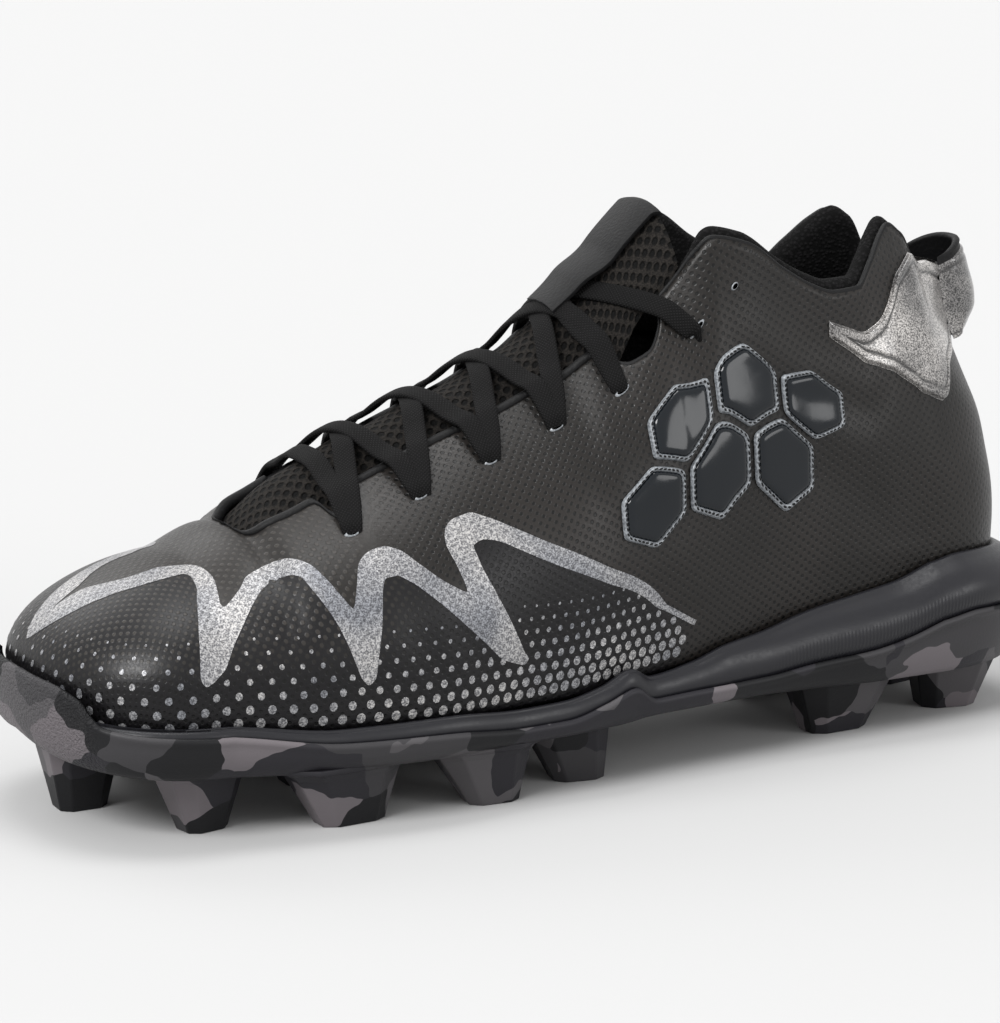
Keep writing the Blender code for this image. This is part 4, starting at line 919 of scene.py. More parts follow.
def buildStuds():
    # Each stud is an eight-cornered section, eased from its wide root to its flat tip
    key = {name: np.array(values, float) for name, values in studs.items()}
    levels = np.array([0.0, 0.0, 0.06, 0.16, 0.30, 0.62, 0.86, 1.0])
    corner = (np.arange(8) + 0.5) * math.pi / 4
    cx, cy = np.clip(1.5 * np.cos(corner), -1, 1), np.clip(1.5 * np.sin(corner), -1, 1)
    spread = 1 + 0.16 * np.clip((0.16 - levels) / 0.16, 0, 1) ** 2
    mix = levels[None] ** 0.92
    long = (key["long"][:, None] * (1 - mix) + key["tipLong"][:, None] * mix) * spread / 2
    wide = (key["wide"][:, None] * (1 - mix) + key["tipWide"][:, None] * mix) * spread / 2
    px = long[..., None] * cx + (key["lean"][:, None] * mix)[..., None]
    py = wide[..., None] * cy
    turn = np.radians(key["turn"])[:, None, None]
    x = (key["at"] - 0.5)[:, None, None] * last["length"] + px * np.cos(turn) - py * np.sin(turn)
    y = key["across"][:, None, None] * last["ballWidth"] / 2 + px * np.sin(turn) + py * np.cos(turn)
    root = underLevel(x, y)
    z = root * (1 - levels[None, :, None])
    z[:, 0] = root[:, 0] + 0.0012
    points = np.stack([x + last["shiftX"], y + last["shiftY"], z], -1)
    faces = np.concatenate([gridFaces(8, 8, roundN=True) + 64 * k for k in range(len(points))])
    item = finishMesh("soleStuds", points.reshape(-1, 3), faces, finish["rubber"],
                      ("outsole",), sharp=12)
    joinDoubles(item, fill=True, outward=True)
    item.data.set_sharp_from_angle(angle=math.radians(14))
    bevel = item.modifiers.new("edges", "BEVEL")
    bevel.width, bevel.segments, bevel.limit_method = 0.00035, 2, "ANGLE"
    bevel.angle_limit = math.radians(24)
    return item


def buildInsole():
    at, side = ringStations(200)
    s, low, k = soleLines(at, side)
    inner = np.clip(at, last["toeAt"], last["heelAt"])
    reach = low[0][0] - 0.0019
    base = soleLevel(floors, "bed", at) + 0.0003
    spine = soleLevel(floors, "bed", inner) + 0.0003
    rows = [place(s, 0 * at, spine), place(s, reach, base), place(s, reach, base + 0.0021)]
    for share, up in ((0.985, 0.0028), (0.96, 0.0030), (0.7, 0.0028), (0.35, 0.0026)):
        rows.append(place(s, reach * share, base * share + spine * (1 - share) + up))
    rows.append(place(s, 0 * at, spine + 0.0026))
    points = np.stack(rows, 1)
    item = finishMesh("insoleBoard", points.reshape(-1, 3),
                      gridFaces(*points.shape[:2], roundM=True), finish["knit"],
                      ("insole",))
    return joinDoubles(item, outward=True)


midsolePiece, platePiece, studPiece, insolePiece = (buildMidsole(), buildPlate(), buildStuds(),
                                                    buildInsole())
print("sole made")


# Throat and collar edges: a folded tape round the throat, a thin painted edge on the collar
edges = dict(beadRadius=0.0009)


def edgeLine(atLow, atHigh, side, count, back=0.0):  # top edge between two places, and its frame
    at = np.linspace(atLow, atHigh, count)
    v = column(edge, "trim", at)
    on = dressed(at, v, side, -0.0009)
    below = dressed(at, v - 0.02, side, -0.0009)
    up = on - below
    up /= np.linalg.norm(up, axis=1)[:, None]
    along = np.gradient(on, axis=0)
    along /= np.linalg.norm(along, axis=1)[:, None]
    out = np.cross(along, up) * (1 if side < 0 else -1)
    out /= np.linalg.norm(out, axis=1)[:, None]
    return on - up * back, up, out


def throatLoop(atHigh, count):  # both sides joined round the front of the throat
    left = [part[::-1] for part in edgeLine(last["toeAt"] + 0.057, atHigh, -1.0, count)]
    right = edgeLine(last["toeAt"] + 0.057, atHigh, 1.0, count)
    return [np.concatenate([a, b[1:]]) for a, b in zip(left, right)]


def sweep(path, a, b, sizes, corners=16, power=2.0):
    # A superellipse with half axes along a and b, carried along the path; the ends are closed
    turn = np.arange(corners) * 2 * math.pi / corners
    c, s = np.cos(turn), np.sin(turn)
    c, s = np.sign(c) * np.abs(c) ** (2 / power), np.sign(s) * np.abs(s) ** (2 / power)
    sa, sb = (np.broadcast_to(size, path.shape[:1]) for size in sizes)
    points = (path[:, None] + a[:, None] * (sa[:, None] * c)[..., None]
              + b[:, None] * (sb[:, None] * s)[..., None])
    run = np.concatenate([[0], np.cumsum(np.linalg.norm(np.diff(path, axis=0), axis=1))])
    around = np.concatenate([[0], np.cumsum(np.hypot(np.diff(c) * sa.mean(), np.diff(s) * sb.mean()))])
    uv = np.stack(np.broadcast_arrays(run[:, None], around[None]), -1)
    return points, uv


def sweepPiece(name, parts, made, replaces=()):
    points, faces, uv, count = [], [], [], 0
    for grid, lay in parts:
        faces.append(gridFaces(*grid.shape[:2], roundN=True) + count)
        points.append(grid.reshape(-1, 3))
        uv.append(lay.reshape(-1, 2))
        count += grid.shape[0] * grid.shape[1]
    item = finishMesh(name, np.concatenate(points), np.concatenate(faces), made, replaces,
                      uv=np.concatenate(uv))
    return joinDoubles(item, fill=True, outward=True)


def buildEdges():
    path, up, out = throatLoop(0.540, 110)
    tape = sweep(path + up * 0.0002, up, out, (0.0014, 0.0016), 12, 2.6)
    throat = sweepPiece("throatTape", [tape], finish["edge"], ("throat_binding",))
    beads = []
    for side in (-1.0, 1.0):
        path, up, out = edgeLine(0.536, 1.0, side, 260)
        beads.append(sweep(path + up * 0.0001, up, out,
                           (0.0009, edges["beadRadius"]), 12, 2.4))
    collar = sweepPiece("collarEdge", beads, finish["edge"])
    return throat, collar


edgePieces = buildEdges()


# Tongue: a padded spacer-mesh shape that rises through the throat and swells between laces
tonguePad = dict(columns=150, across=61, pad=0.0045, swell=0.0013)
tongueRows = dict(
    at=(0.160, 0.195, 0.204, 0.2185, 0.238, 0.268, 0.305, 0.3675, 0.434, 0.490, 0.510, 0.560, 0.607),
    ridge=(0.515, 0.572, 0.585, 0.635, 0.692, 0.755, 0.805, 0.880, 0.965, 1.060, 1.110, 1.285, 1.435),
    half=(0.600, 0.800, 0.850, 0.880, 0.900, 0.900, 0.900, 0.900, 0.900, 0.900, 0.900, 0.920, 0.880))
eyelets = dict(at=(0.274, 0.341, 0.409, 0.473, 0.535, 0.611),
               across=(0.600, 0.580, 0.570, 0.570, 0.600, 0.590))


def tongueFace(at, share, lift=0.0):  # share -1 to 1 across; the outer fifth is hidden under the upper
    at, share = np.broadcast_arrays(np.asarray(at, float), np.asarray(share, float))
    side = np.where(share < 0, -1.0, 1.0)
    s = station(at, side)
    high = sideCurves(s)[1]
    wall = -(0.0020 + 0.0013)
    topR, topZ = curvePoint(high, 1.0 + 0 * at, wall)
    half = column(tongueRows, "half", at) * last["collarWidth"] / 2
    free = smoothStep(at, 0.50, 0.58)
    ridge = last["stud"] + column(tongueRows, "ridge", at) * last["instepRise"]
    limit = np.maximum(topR, 0.008) * (1 - free) + np.minimum(half, topR) * free
    k = np.clip(np.abs(share) / 0.8, 0, 1)
    arch = 1 - k ** 2.2
    reach = limit * k
    z = topZ * (1 - 0.5 * free) + (ridge - 0.010) * 0.5 * free
    z = z + (ridge - z) * arch
    hidden = np.clip((np.abs(share) - 0.8) / 0.2, 0, 1)
    hr, hz = curvePoint(high, 1 - hidden * 0.16, wall)
    use = (hidden > 0)
    reach = np.where(use, hr * (1 - free) + (limit + hidden * 0.001) * free, reach)
    z = np.where(use, hz * (1 - free) + (z - hidden * 0.003) * free, z)
    holes = np.array(eyelets["at"])
    swell = 0 * at
    for a in np.concatenate([[0.236], (holes[:-1] + holes[1:]) / 2, [0.60]]):
        swell = swell + np.exp(-((at - a) / 0.020) ** 2)
    puff = tonguePad["swell"] * swell * np.clip(1 - k ** 2, 0, 1)
    tuck = 0.0035 * (1 - smoothStep(at, 0.188, 0.206))
    return place(s, reach, z + puff + lift - tuck)


def buildTongue():
    p = tonguePad
    at = np.linspace(0.172, 0.607, p["columns"])
    share = np.linspace(-1, 1, p["across"])
    a, b = np.meshgrid(at, share, indexing="ij")
    outer = tongueFace(a, b)
    ends = np.clip(np.minimum((0.607 - a) / 0.006, 1), 0, 1)
    thick = p["pad"] * (0.35 + 0.65 * np.sqrt(np.clip(1 - b ** 8, 0, 1))) * (0.3 + 0.7 * np.sqrt(ends))
    n = np.cross(np.gradient(outer, axis=0), np.gradient(outer, axis=1))
    n /= np.linalg.norm(n, axis=-1, keepdims=True) + 1e-12
    n = n * np.sign(n[..., 2:].mean())
    inner = outer - n * thick[..., None]
    outer = outer - n * (0.0010 * (1 - np.sqrt(ends)))[..., None]
    points = np.concatenate([outer, inner[:, ::-1]], 1)
    wide = np.cumsum(np.linalg.norm(np.diff(outer, axis=1, prepend=outer[:, :1]), axis=-1), 1)
    rise = np.cumsum(np.linalg.norm(np.diff(outer[:, p["across"] // 2], axis=0,
                                            prepend=outer[:1, p["across"] // 2]), axis=-1))
    lay = np.stack([rise[:, None] + 0 * b, wide - wide[:, p["across"] // 2:p["across"] // 2 + 1]], -1)
    lay = np.concatenate([lay, lay[:, ::-1]], 1)
    item = finishMesh("tonguePad", points.reshape(-1, 3), gridFaces(*points.shape[:2], roundN=True),
                      finish["mesh"], ("tongue",), uv=lay)
    return joinDoubles(item, fill=True, outward=True)


buildTongue()


# Smooth strap down the tongue's ridge, folded over its top, open over the laces at its foot
strap = dict(fromAt=0.505, toAt=0.609, width=0.0180, foot=0.0145, shift=-0.0022,
             wall=0.0012, keeper=(0.530, 0.565), keeperRise=0.0034)


def buildStrap():
    p = strap
    at = np.linspace(p["fromAt"], p["toAt"], 90)
    across = np.linspace(-1, 1, 25)
    a, b = np.meshgrid(at, across, indexing="ij")
    half = column(tongueRows, "half", a) * last["collarWidth"] / 2
    share = (b * p["width"] / 2 + p["shift"]) / np.maximum(half, 0.012) * 0.8
    lift = p["keeperRise"] * (1 - smoothStep(a, *p["keeper"])) + 0.0003
    path = tongueFace(np.minimum(a, 0.607), share, lift * 1.35)
    centre = path[:, 12]
    wide = p["foot"] + (p["width"] - p["foot"]) * smoothStep(a, 0.50, 0.57)
    path[:, :, 1] = centre[:, None, 1] + b * wide / 2
    fold = smoothStep(a, 0.600, 0.609)
    path[:, :, 2] -= fold * 0.0016
    n = np.cross(np.gradient(path, axis=0), np.gradient(path, axis=1))
    n /= np.linalg.norm(n, axis=-1, keepdims=True) + 1e-12
    n = n * np.sign(n[..., 2:].mean())
    points = np.concatenate([path + n * p["wall"], path[:, ::-1]], 1)
    lay = np.stack([a * 0.302 * 2, b * p["width"] / 2], -1)
    lay = np.concatenate([lay, lay[:, ::-1]], 1)
    item = finishMesh("tongueStrap", points.reshape(-1, 3), gridFaces(*points.shape[:2], roundN=True),
                      finish["edge"], ("tongue_band",), uv=lay)
    joinDoubles(item, fill=True, outward=True)
    soft = item.modifiers.new("soft", "BEVEL")
    soft.width, soft.segments, soft.limit_method = 0.0004, 2, "ANGLE"
    return item


buildStrap()


# Collar lining: a padded knit roll inside the collar that stands a little over its edge
roll = dict(fromAt=0.612, columns=150, pad=0.0070, rise=0.0036, gap=0.0022)


def buildLining():
    p = roll
    half = np.concatenate([np.linspace(p["fromAt"], last["heelAt"], p["columns"])[:-1],
                           np.linspace(last["heelAt"], 1, 30)])
    at = np.concatenate([half, half[-2::-1]])
    side = np.concatenate([-np.ones(len(half)), np.ones(len(half) - 1)])
    s = station(at, side)
    high = sideCurves(s)[1]
    taper = smoothStep(at, p["fromAt"], p["fromAt"] + 0.03)
    pad = p["pad"] * (0.35 + 0.65 * taper)
    rise = p["rise"] * taper
    topR, topZ = curvePoint(high, 1.0 + 0 * at, 0.0)
    lowR, lowZ = curvePoint(high, 0.97 + 0 * at, 0.0)
    run = np.hypot(topR - lowR, topZ - lowZ)
    upR, upZ = (topR - lowR) / run, (topZ - lowZ) / run
    rows = []
    for t in (0.62, 0.72, 0.82, 0.92, 1.0):
        rows.append(place(s, *curvePoint(high, t + 0 * at, -p["gap"])))
    for turn in np.linspace(0.12, 1.0, 9) * math.pi:
        inner = -p["gap"] - pad / 2 * (1 - math.cos(turn))
        r, z = curvePoint(high, 1.0 + 0 * at, inner)
        lift = rise * math.sin(turn) ** 0.8 if turn < math.pi else 0
        rows.append(place(s, r + upR * lift, z + upZ * lift))
    for t, share in ((0.94, 1.02), (0.86, 0.98), (0.76, 0.82), (0.62, 0.45)):
        rows.append(place(s, *curvePoint(high, t + 0 * at, -p["gap"] - pad * share)))
    points = np.stack(rows, 1)
    item = finishMesh("collarRoll", points.reshape(-1, 3), gridFaces(*points.shape[:2], roundN=True),
                      finish["knit"], ("collar_lining",))
    joinDoubles(item, fill=True, outward=True)
    return item


buildLining()


# Inner lining of the quarter below the roll, thin cloth on the skin's inside
def buildSock():
    at = np.concatenate([np.linspace(0.2, last["heelAt"], 90)[:-1], np.linspace(last["heelAt"], 1, 16)])
    v = np.linspace(-0.55, 0.80, 26)
    a, b = np.meshgrid(at, v, indexing="ij")
    points, faces = [], []
    for side in (-1.0, 1.0):
        faces.append(gridFaces(len(at), len(v), flip=side < 0) + len(faces) * a.size)
        points.append(skin(a, b, side, -0.0024).reshape(-1, 3))
    item = finishMesh("quarterLining", np.concatenate(points), np.concatenate(faces), finish["knit"])
    return joinDoubles(item)


buildSock()
print("tongue, strap and linings made")


# Side pads: a honeycomb of domed film pads with a grey stitched rim each
pads = dict(hexSize=0.0125, inset=0.0010, cells=((0, 0), (1, 0), (2, 0), (0, 1), (1, 1), (2, 1)),
            at=0.545, rise=0.330, span=0.075, slope=0.350, height=0.0021, rim=0.0017,
            stitches=42)


def hexEdge(turn, size, power=9.0):  # distance from the middle to a rounded hexagon's side
    k = np.stack([np.cos(turn - math.pi * j / 3) for j in range(6)])
    sharp = power * 2
    return size * math.cos(math.pi / 6) / (np.clip(k, 0, None) ** sharp).sum(0) ** (1 / sharp)


def padSpot(x, z, side, lift):  # from the flat honeycomb to the skin
    at = pads["at"] + x / last["length"]
    v = pads["rise"] + z / pads["span"] - (at - pads["at"]) * pads["slope"]
    return dressed(at, v, side, lift)


def buildPads(name, side, node):
    p = pads
    turn = np.arange(96) * 2 * math.pi / 96
    size = p["hexSize"] - p["inset"]
    outer = hexEdge(turn, size)
    rings = np.array([0.0, 0.2, 0.4, 0.55, 0.68, 0.76, 0.82, 0.85, 0.87, 0.885, 0.90, 0.93, 0.965,
                      0.985, 1.0])
    lift = np.array([0.00175, 0.00175, 0.00174, 0.00172, 0.00168, 0.00160, 0.00140, 0.00100, 0.00085,
                     0.00095, 0.00122, 0.00138, 0.00122, 0.0008, 0.00015])
    film, rim, stitch = [], [], []
    for cellX, cellZ in p["cells"]:
        x0 = p["hexSize"] * math.sqrt(3) * (cellX + 0.5 * (cellZ % 2))
        z0 = p["hexSize"] * 1.5 * cellZ
        x = x0 + rings[:, None] * outer * np.cos(turn)
        z = z0 + rings[:, None] * outer * np.sin(turn)
        grid = padSpot(x, z, side, lift[:, None] + 0 * x)
        film.append(grid[:9])
        rim.append(grid[8:])
        t = np.arange(p["stitches"]) * 2 * math.pi / p["stitches"]
        stitch.append((x0 + 0.925 * hexEdge(t, size) * np.cos(t),
                       z0 + 0.925 * hexEdge(t, size) * np.sin(t), t))
    items = []
    for label, grids, made, slot, nodes in ((name, film, finish["gloss"], "gloss_film", (node,)),
                                            (name + "Rim", rim, finish["rim"], "gloss_film", ())):
        points, faces, count = [], [], 0
        for grid in grids:
            faces.append(gridFaces(*grid.shape[:2], roundN=True, flip=side > 0) + count)
            points.append(grid.reshape(-1, 3))
            count += grid.shape[0] * grid.shape[1]
        item = finishMesh(label, np.concatenate(points), np.concatenate(faces), made, nodes)
        items.append(joinDoubles(item))
    points, faces, count = [], [], 0
    ball = np.arange(6) * math.pi / 3
    for sx, sz, t in stitch:
        tangent = t + math.pi / 2
        for q, w in ((-1.0, 0.25), (-0.6, 0.9), (0.0, 1.0), (0.6, 0.9), (1.0, 0.25)):
            x = (sx[:, None] + np.cos(tangent)[:, None] * q * 0.00055
                 + np.cos(t)[:, None] * np.cos(ball) * 0.00024 * w)
            z = (sz[:, None] + np.sin(tangent)[:, None] * q * 0.00055
                 + np.sin(t)[:, None] * np.cos(ball) * 0.00024 * w)
            points.append(padSpot(x, z, side, 0.00140 + np.sin(ball) * 0.00022 * w + 0 * x))
    rows = [np.stack(points[k:k + 5], 1) for k in range(0, len(points), 5)]
    flat, faces = [], []
    for block in rows:
        n = block.shape[0]
        base = gridFaces(5, 6, roundN=True)
        faces.append((base[None] + (np.arange(n) * 30)[:, None, None]).reshape(-1, 4) + count)
        flat.append(block.reshape(-1, 3))
        count += n * 30
    thread = finishMesh(name + "Stitch", np.concatenate(flat), np.concatenate(faces), finish["edge"])
    joinDoubles(thread, fill=True, outward=True, away=1e-7)
    return items + [thread]


padPieces = buildPads("padLateral", -1.0, "badge_lateral") + buildPads("padMedial", 1.0, "badge_medial")
print("side pads made")


# Heel panel: flaked film over a foam core, with a pressed groove inside its edge, painted near-black as
# painted shade
panel = dict(
    at=(0.747, 0.761, 0.782, 0.809, 0.836, 0.863, 0.885, 0.909, 0.930, 0.945, 0.970, 1.000),
    low=(0.835, 0.790, 0.705, 0.550, 0.425, 0.392, 0.560, 0.640, 0.710, 0.745, 0.740, 0.730),
    high=(0.900, 0.878, 0.835, 0.775, 0.850, 0.975, 0.990, 1.000, 1.000, 1.000, 1.000, 1.000),
    crown=0.0042,
    height=0.0016, across=54, inset=0.0026)


def heelStations(atLow, sides, turns):
    half = np.concatenate([np.linspace(atLow, last["heelAt"], sides)[:-1],
                           np.linspace(last["heelAt"], 1, turns)])
    at = np.concatenate([half, half[-2::-1]])
    return at, np.concatenate([-np.ones(len(half)), np.ones(len(half) - 1)])


def buildPanel():
    p = panel
    at, side = heelStations(p["at"][0], 110, 70)
    share = (1 - np.cos(np.linspace(0, math.pi, p["across"]))) / 2
    a = at[:, None] + 0 * share
    low, high = column(p, "low", a), column(p, "high", a)
    v = low + (high - low) * share
    flat = dressed(a, v, side[:, None], 0.0)
    fromLow = np.linalg.norm(flat - flat[:, :1], axis=-1)
    fromHigh = np.linalg.norm(flat - flat[:, -1:], axis=-1)
    near = np.minimum(fromLow, fromHigh) * 0.8
    near = np.minimum(near, (a - p["at"][0]) * 0.302 * 0.8)
    line = np.exp(-((near - p["inset"]) / 0.00035) ** 2)
    lift = p["height"] * smoothStep(near, 0.0, 0.0008) - 0.0006 * line
    points = dressed(a, v, side[:, None], lift + 0.0001)
    points[..., 2] += p["crown"] * smoothStep(a, 0.868, 0.93) * smoothStep(share, 0.55, 1.0)
    # The groove's line is also painted near-black on the film: painted shade
    return finishMesh("heelPanel", points.reshape(-1, 3), gridFaces(*points.shape[:2]),
                      finish["flake"], ("heel_panel",), mixes=dict(grooveShade=line.ravel()))


buildPanel()


# Finger loop: a band that stands off the back of the panel, open at its top, filmed outside
loop = dict(fromAt=0.950, reach=0.0054, wall=0.0018, low=0.715, top=1.0, rim=0.0013, crown=0.0088,
            share=(0.0, 0.20, 0.42, 0.52, 0.75, 1.0), out=(0.0, 0.75, 1.36, 1.40, 1.15, 0.85))


def loopFace(t, share, lift):  # t -1 to 1 round the heel, share 0 at its foot to 1 at its rim
    p = loop
    at = 1 - (1 - p["fromAt"]) * np.abs(t)
    side = np.where(t < 0, -1.0, 1.0)
    v = p["low"] + (p["top"] - p["low"]) * share
    base = dressed(at, v, side, 0.0014)
    away = (dressed(at, v, side, 0.0024) - base) / 0.001
    out = column(dict(at=p["share"], out=p["out"]), "out", share)
    reach = p["reach"] * np.clip(1 - np.abs(t) ** 2.2, 0, 1) * out
    root = smoothStep(1 - np.abs(t), 0.0, 0.22)
    points = base + away * (reach + lift * (0.03 + 0.97 * root))[..., None]
    points[..., 2] += smoothStep(share, 0.3, 1.0) * (0.004 + (p["crown"] - 0.004) * (1 - t * t))
    return points


def buildLoop():
    p = loop
    t = np.sin(np.linspace(-1, 1, 61) * math.pi / 2)
    share = np.linspace(0, 1, 24)
    a, b = np.meshgrid(t, share, indexing="ij")
    outer = loopFace(a, b, p["wall"] + 0 * a)
    inner = loopFace(a, b, 0 * a)
    turn = np.linspace(0.15, 0.85, 6) * math.pi
    top = loopFace(t[:, None] + 0 * turn, 1 + 0 * turn + 0 * t[:, None],
                   p["wall"] / 2 + p["rim"] * np.cos(turn) + 0 * t[:, None])
    top[..., 2] += p["rim"] * 1.1 * np.sin(turn)
    points = np.concatenate([outer, top, inner[:, ::-1]], 1)
    body = finishMesh("loopBand", points.reshape(-1, 3), gridFaces(*points.shape[:2], roundN=True),
                      finish["edge"], ("pull_loop",))
    joinDoubles(body, fill=True, outward=True)
    t = np.sin(np.linspace(-1, 1, 71) * math.pi / 2)
    share = np.linspace(0.0, 0.95, 44)
    a, b = np.meshgrid(t, share, indexing="ij")
    near = np.minimum(b - share[0], share[-1] - b) * 0.020
    line = np.exp(-((near - 0.0016) / 0.00035) ** 2)
    lift = p["wall"] + 0.0006 * smoothStep(near, 0, 0.0006) - 0.0003 * line
    points = loopFace(a, b, lift)
    # The film's groove line is painted near-black too: painted shade
    film = finishMesh("loopFilm", points.reshape(-1, 3), gridFaces(*points.shape[:2]),
                      finish["flake"], mixes=dict(grooveShade=line.ravel()))
    return body, film


loopPieces = buildLoop()
print("heel made")


# Laces: one flat lace that crosses between the eyelets; each run dips into its two eyelets
laceRuns = dict(width=0.0058, wall=0.0017, points=64, lift=0.0013, sit=0.0011, dip=0.0030,
                lastCrossing=0.520, spanRise=0.0012, edge=0.80, edgeAt=0.585, edgeV=0.965)


def heightField():  # highest outer surface over the throat, as a table on a fine plan grid
    xs, ys = np.arange(-0.080, 0.052, 0.0008), np.arange(-0.040, 0.042, 0.0008)
    field = np.zeros((len(xs), len(ys)))
    at, v = np.meshgrid(np.linspace(0.19, 0.68, 420), np.linspace(0.35, 1, 130), indexing="ij")
    trim = column(edge, "trim", at)
    clouds = [dressed(at, v * trim, side) for side in (-1.0, 1.0)]
    at, share = np.meshgrid(np.linspace(0.19, 0.607, 420), np.linspace(-0.8, 0.8, 160), indexing="ij")
    clouds.append(tongueFace(at, share))
    for cloud in clouds:
        flat = cloud.reshape(-1, 3)
        i = np.round((flat[:, 0] - xs[0]) / 0.0008).astype(int)
        j = np.round((flat[:, 1] - ys[0]) / 0.0008).astype(int)
        ok = (i >= 0) & (i < len(xs)) & (j >= 0) & (j < len(ys))
        np.maximum.at(field, (i[ok], j[ok]), flat[ok, 2])
    for _ in range(6):
        grown = np.pad(field, 1, mode="edge")
        around = np.max([grown[1 + a:len(xs) + 1 + a, 1 + b:len(ys) + 1 + b]
                         for a in (-1, 0, 1) for b in (-1, 0, 1)], axis=0)
        field = np.where(field == 0, around, field)
    return xs, ys, field


fieldX, fieldY, field = heightField()


def groundAt(x, y, reach=3):  # highest surface within the lace's half width of a place
    i = np.clip(np.round((x - fieldX[0]) / 0.0008).astype(int), reach, len(fieldX) - reach - 1)
    j = np.clip(np.round((y - fieldY[0]) / 0.0008).astype(int), reach, len(fieldY) - reach - 1)
    span = np.arange(-reach, reach + 1)
    return np.max([field[i + a, j + b] for a in span for b in span], axis=0)


def smoothLine(values, passes):
    for _ in range(passes):
        inner = (values[:-2] + 2 * values[1:-1] + values[2:]) / 4
        values = np.concatenate([values[:1], inner, values[-1:]])
    return values


def eyeletPlace(a, w, side):  # share up the skin of an eyelet, its point and the skin's outward normal
    v = np.linspace(0.3, 1, 600)
    line = skin(a + 0 * v, v, side)
    found = v[np.argmin(np.abs(np.abs(line[:, 1] - last["shiftY"]) - w * last["ballWidth"] / 2))]
    spot, one = np.array([a]), np.array([found])
    return found, dressed(spot, one, side)[0], wallNormal(spot, one, np.array([side]))[0]


def buildLaces():
    p = laceRuns
    at, across = np.array(eyelets["at"]), np.array(eyelets["across"]) * last["ballWidth"] / 2
    runs = [(0, 0, -1)] + [(k, k + 1, side) for k in range(len(at) - 1) for side in (-1, 1)]
    parts = []
    for i, j, side in runs:
        q = np.linspace(0, 1, p["points"])
        bend = p["lastCrossing"] - (at[i] + at[j]) / 2 if j == len(at) - 1 else 0
        a = at[i] + (at[j] - at[i]) * q + bend * (4 * q * (1 - q)) ** 1.2
        y = side * (across[i] * (1 - q) - across[j] * q)
        x = (a - 0.5) * last["length"] + last["shiftX"]
        y = y + last["shiftY"]
        z = groundAt(x, y)
        z = np.maximum(z, smoothLine(z, 12))
        z = smoothLine(z, 10) + p["lift"]
        over = 0.0012 * np.exp(-((q - 0.5) / 0.13) ** 2) * (1 if side > 0 else -0.25)
        path = np.stack([x, y, z + over], 1)
        holds = [eyeletPlace(at[k], float(eyelets["across"][k]) + 0.012, s)
                 for k, s in ((i, side), (j, -side))]
        if bend:
            far = np.clip((q - p["edge"]) / (1 - p["edge"]), 0, 1)
            over = (holds[1][0] - p["edgeV"]) * far + p["edgeV"]
            onSkin = dressed(p["edgeAt"] + (at[j] - p["edgeAt"]) * far, over, -side,
                             p["sit"] + 0.0012 * (1 - far))
            first = np.argmax(q >= p["edge"])
            share = smoothStep(q, 0.5, p["edge"])[:, None] * 0.35 + 0.65 * np.clip(
                (q - 0.5) / (p["edge"] - 0.5), 0, 1)[:, None]
            bridge = path[32] + (onSkin[first] - path[32]) * share
            share = np.clip((q - 0.5) / (p["edge"] - 0.5), 0, 1)
            bridge[:, 2] += p["spanRise"] * np.sin(math.pi * share)
            late = (q >= p["edge"])[:, None]
            path = np.where((q > 0.5)[:, None], np.where(late, onSkin, bridge), path)
            path = np.stack([smoothLine(path[:, k], 6) for k in range(3)], 1)
        for near, (found, hold, out) in zip((q, 1 - q), holds):
            end = 0 if near[0] == 0 else -1
            pull = (1 - smoothStep(near, 0.0, 0.16))[:, None]
            path = path + (hold + out * p["sit"] - path[end]) * pull
            path = path - out * (p["dip"] * np.clip(1 - near / 0.035, 0, 1) ** 1.3)[:, None]
        along = np.gradient(path, axis=0)
        along /= np.linalg.norm(along, axis=1)[:, None]
        slope = (groundAt(x + 0.004, y, 2) - groundAt(x - 0.004, y, 2)) / 0.008
        tiltY = (groundAt(x, y + 0.003, 2) - groundAt(x, y - 0.003, 2)) / 0.006
        lean = -smoothLine(np.clip(tiltY, -1.2, 1.2), 14)
        up = np.stack([-smoothLine(slope, 14), lean, 1 + 0 * slope], 1)
        up -= along * (up * along).sum(1)[:, None]
        up /= np.linalg.norm(up, axis=1)[:, None]
        beside = np.cross(up, along)
        narrow = 0.85 + 0.15 * smoothStep(np.minimum(q, 1 - q), 0.0, 0.10)
        parts.append(sweep(path, beside, up, (p["width"] / 2 * narrow, p["wall"] / 2),
                           20, 3.2))
    return sweepPiece("laceRuns", parts, finish["lace"], ("laces",))


buildLaces()
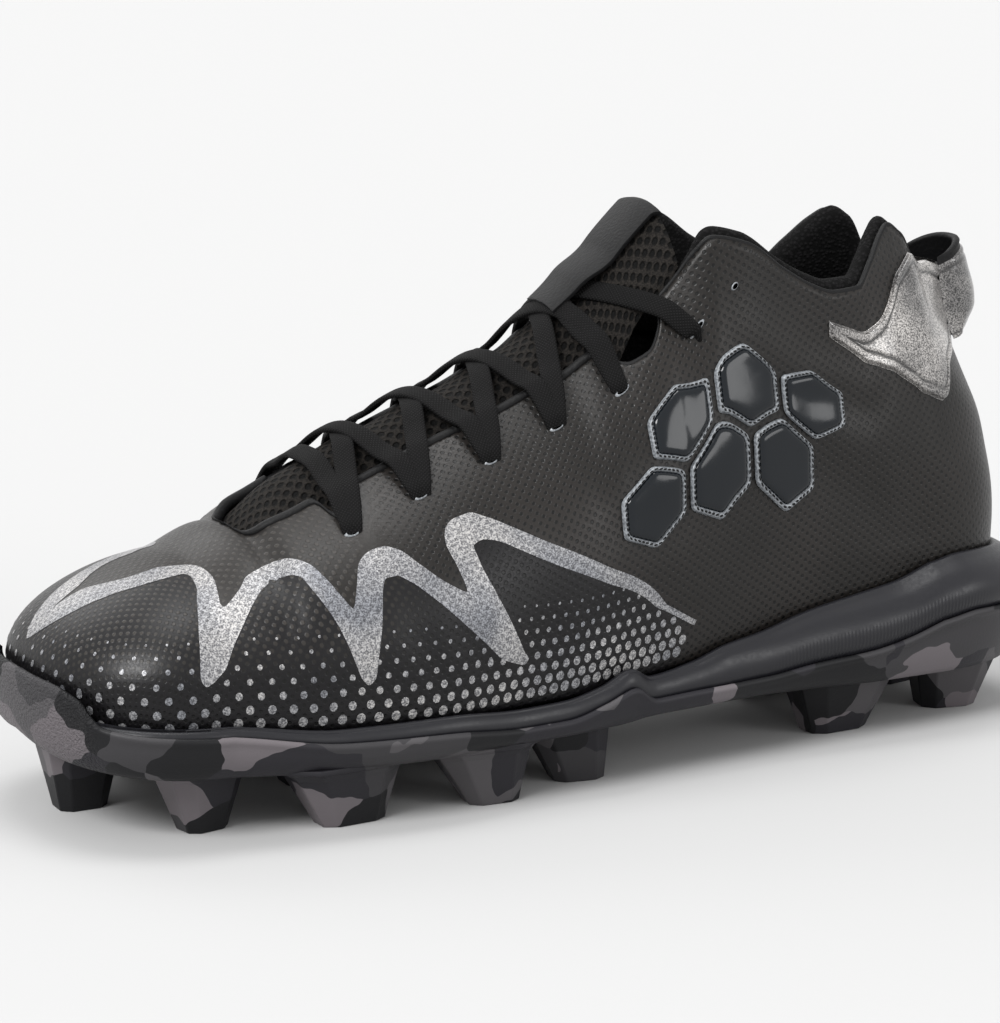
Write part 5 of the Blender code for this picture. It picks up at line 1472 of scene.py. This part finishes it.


# Punched eyelets under the lace ends, and one empty slot near the ankle: near-black cups that paint the
# shade inside each hole, in grey rims
def buildEyelets():
    parts = []
    spotsAt = [(a, w, side, 0.0042, 0.0022) for a, w in zip(eyelets["at"], eyelets["across"])
               for side in (-1.0, 1.0)]
    spotsAt += [(0.649, None, side, 0.0030, 0.0014) for side in (-1.0, 1.0)]
    turn = np.arange(28) * 2 * math.pi / 28
    for a, w, side, long, tall in spotsAt:
        v0 = 0.875 if w is None else eyeletPlace(a, w, side)[0]
        step = np.linalg.norm(skin(np.array([a]), np.array([v0 + 0.01]), side)
                              - skin(np.array([a]), np.array([v0 - 0.01]), side)) / 0.02
        rings = np.array([0.0, 0.55, 0.72, 0.86, 1.0])[:, None]
        lift = np.array([0.00012, 0.00012, 0.00038, 0.00038, 0.00002])[:, None]
        tilt = 0.9 if w is None else 0.0
        dx = rings * long / 2 * np.cos(turn)
        dz = rings * tall / 2 * np.sin(turn)
        aa = a + (dx * math.cos(tilt) - dz * math.sin(tilt)) / last["length"]
        vv = v0 + (dz * math.cos(tilt) + dx * math.sin(tilt)) / step
        grid = dressed(aa, vv, side, lift + 0 * dx)
        parts.append(grid if side > 0 else grid[:, ::-1])
    items = []
    for name, low, high, made in (("eyeletHoleShade", 0, 3, finish["holeShade"]),
                                  ("eyeletRims", 2, 5, finish["rim"])):
        points, faces, count = [], [], 0
        for grid in parts:
            grid = grid[low:high]
            faces.append(gridFaces(*grid.shape[:2], roundN=True, flip=True) + count)
            points.append(grid.reshape(-1, 3))
            count += grid.shape[0] * grid.shape[1]
        items.append(joinDoubles(finishMesh(name, np.concatenate(points), np.concatenate(faces), made)))
    return items


buildEyelets()
print("laces and eyelets made")


# Studio: pale floor, white world, soft lights and the photograph's camera
def buildStudio():
    scene = bpy.context.scene
    right, up, back, at = cameraAxes()
    data = bpy.data.cameras.new("studioCamera")
    data.lens, data.sensor_width, data.sensor_fit = studio["lens"], studio["sensor"], "AUTO"
    data.shift_x, data.shift_y = studio["shiftX"], studio["shiftY"]
    data.clip_start, data.clip_end = 0.01, 50
    eye = bpy.data.objects.new("studioCamera", data)
    scene.collection.objects.link(eye)
    matrix = np.eye(4)
    matrix[:3, 0], matrix[:3, 1], matrix[:3, 2], matrix[:3, 3] = right, up, back, at
    eye.matrix_world = Matrix(matrix.tolist())
    scene.camera = eye
    scene.view_settings.view_transform = "Standard"
    world = bpy.data.worlds.new("paleRoom")
    world.use_nodes = True
    world.node_tree.nodes["Background"].inputs["Color"].default_value = linear("#ffffff")
    world.node_tree.nodes["Background"].inputs["Strength"].default_value = 0.92
    scene.world = world
    floorMesh = bpy.data.meshes.new("studioFloor")
    floorMesh.from_pydata([(-30, -30, 0), (30, -30, 0), (30, 30, 0), (-30, 30, 0)], [], [(0, 1, 2, 3)])
    pale = newMaterial("paleFloor", "#b4b4b4", 0.9, Specular_IOR_Level=0.0)
    floorMesh.materials.append(pale)
    ground = bpy.data.objects.new("studioFloor", floorMesh)
    scene.collection.objects.link(ground)
    # Wide, far softboxes that light the floor evenly: name, place, angle filled, strength
    lights = (("keySoft", (-0.85, -0.45, 0.95), 24, 2.9), ("topSoft", (0.05, 0.15, 1.2), 26, 1.1),
              ("sideSoft", (0.75, -1.05, 0.50), 24, 0.6), ("backSoft", (-0.2, 1.0, 0.8), 30, 0.5))
    for name, spot, wide, power in lights:
        lamp = bpy.data.lights.new(name, "SUN")
        lamp.angle, lamp.energy = math.radians(wide), power
        item = bpy.data.objects.new(name, lamp)
        aim = np.array([0, 0, 0.06]) - np.array(spot)
        z = -aim / np.linalg.norm(aim)
        x = np.cross((0, 0, 1), z)
        x /= np.linalg.norm(x)
        m = np.eye(4)
        m[:3, 0], m[:3, 1], m[:3, 2], m[:3, 3] = x, np.cross(z, x), z, spot
        item.matrix_world = Matrix(m.tolist())
        scene.collection.objects.link(item)


buildStudio()
print("studio made")
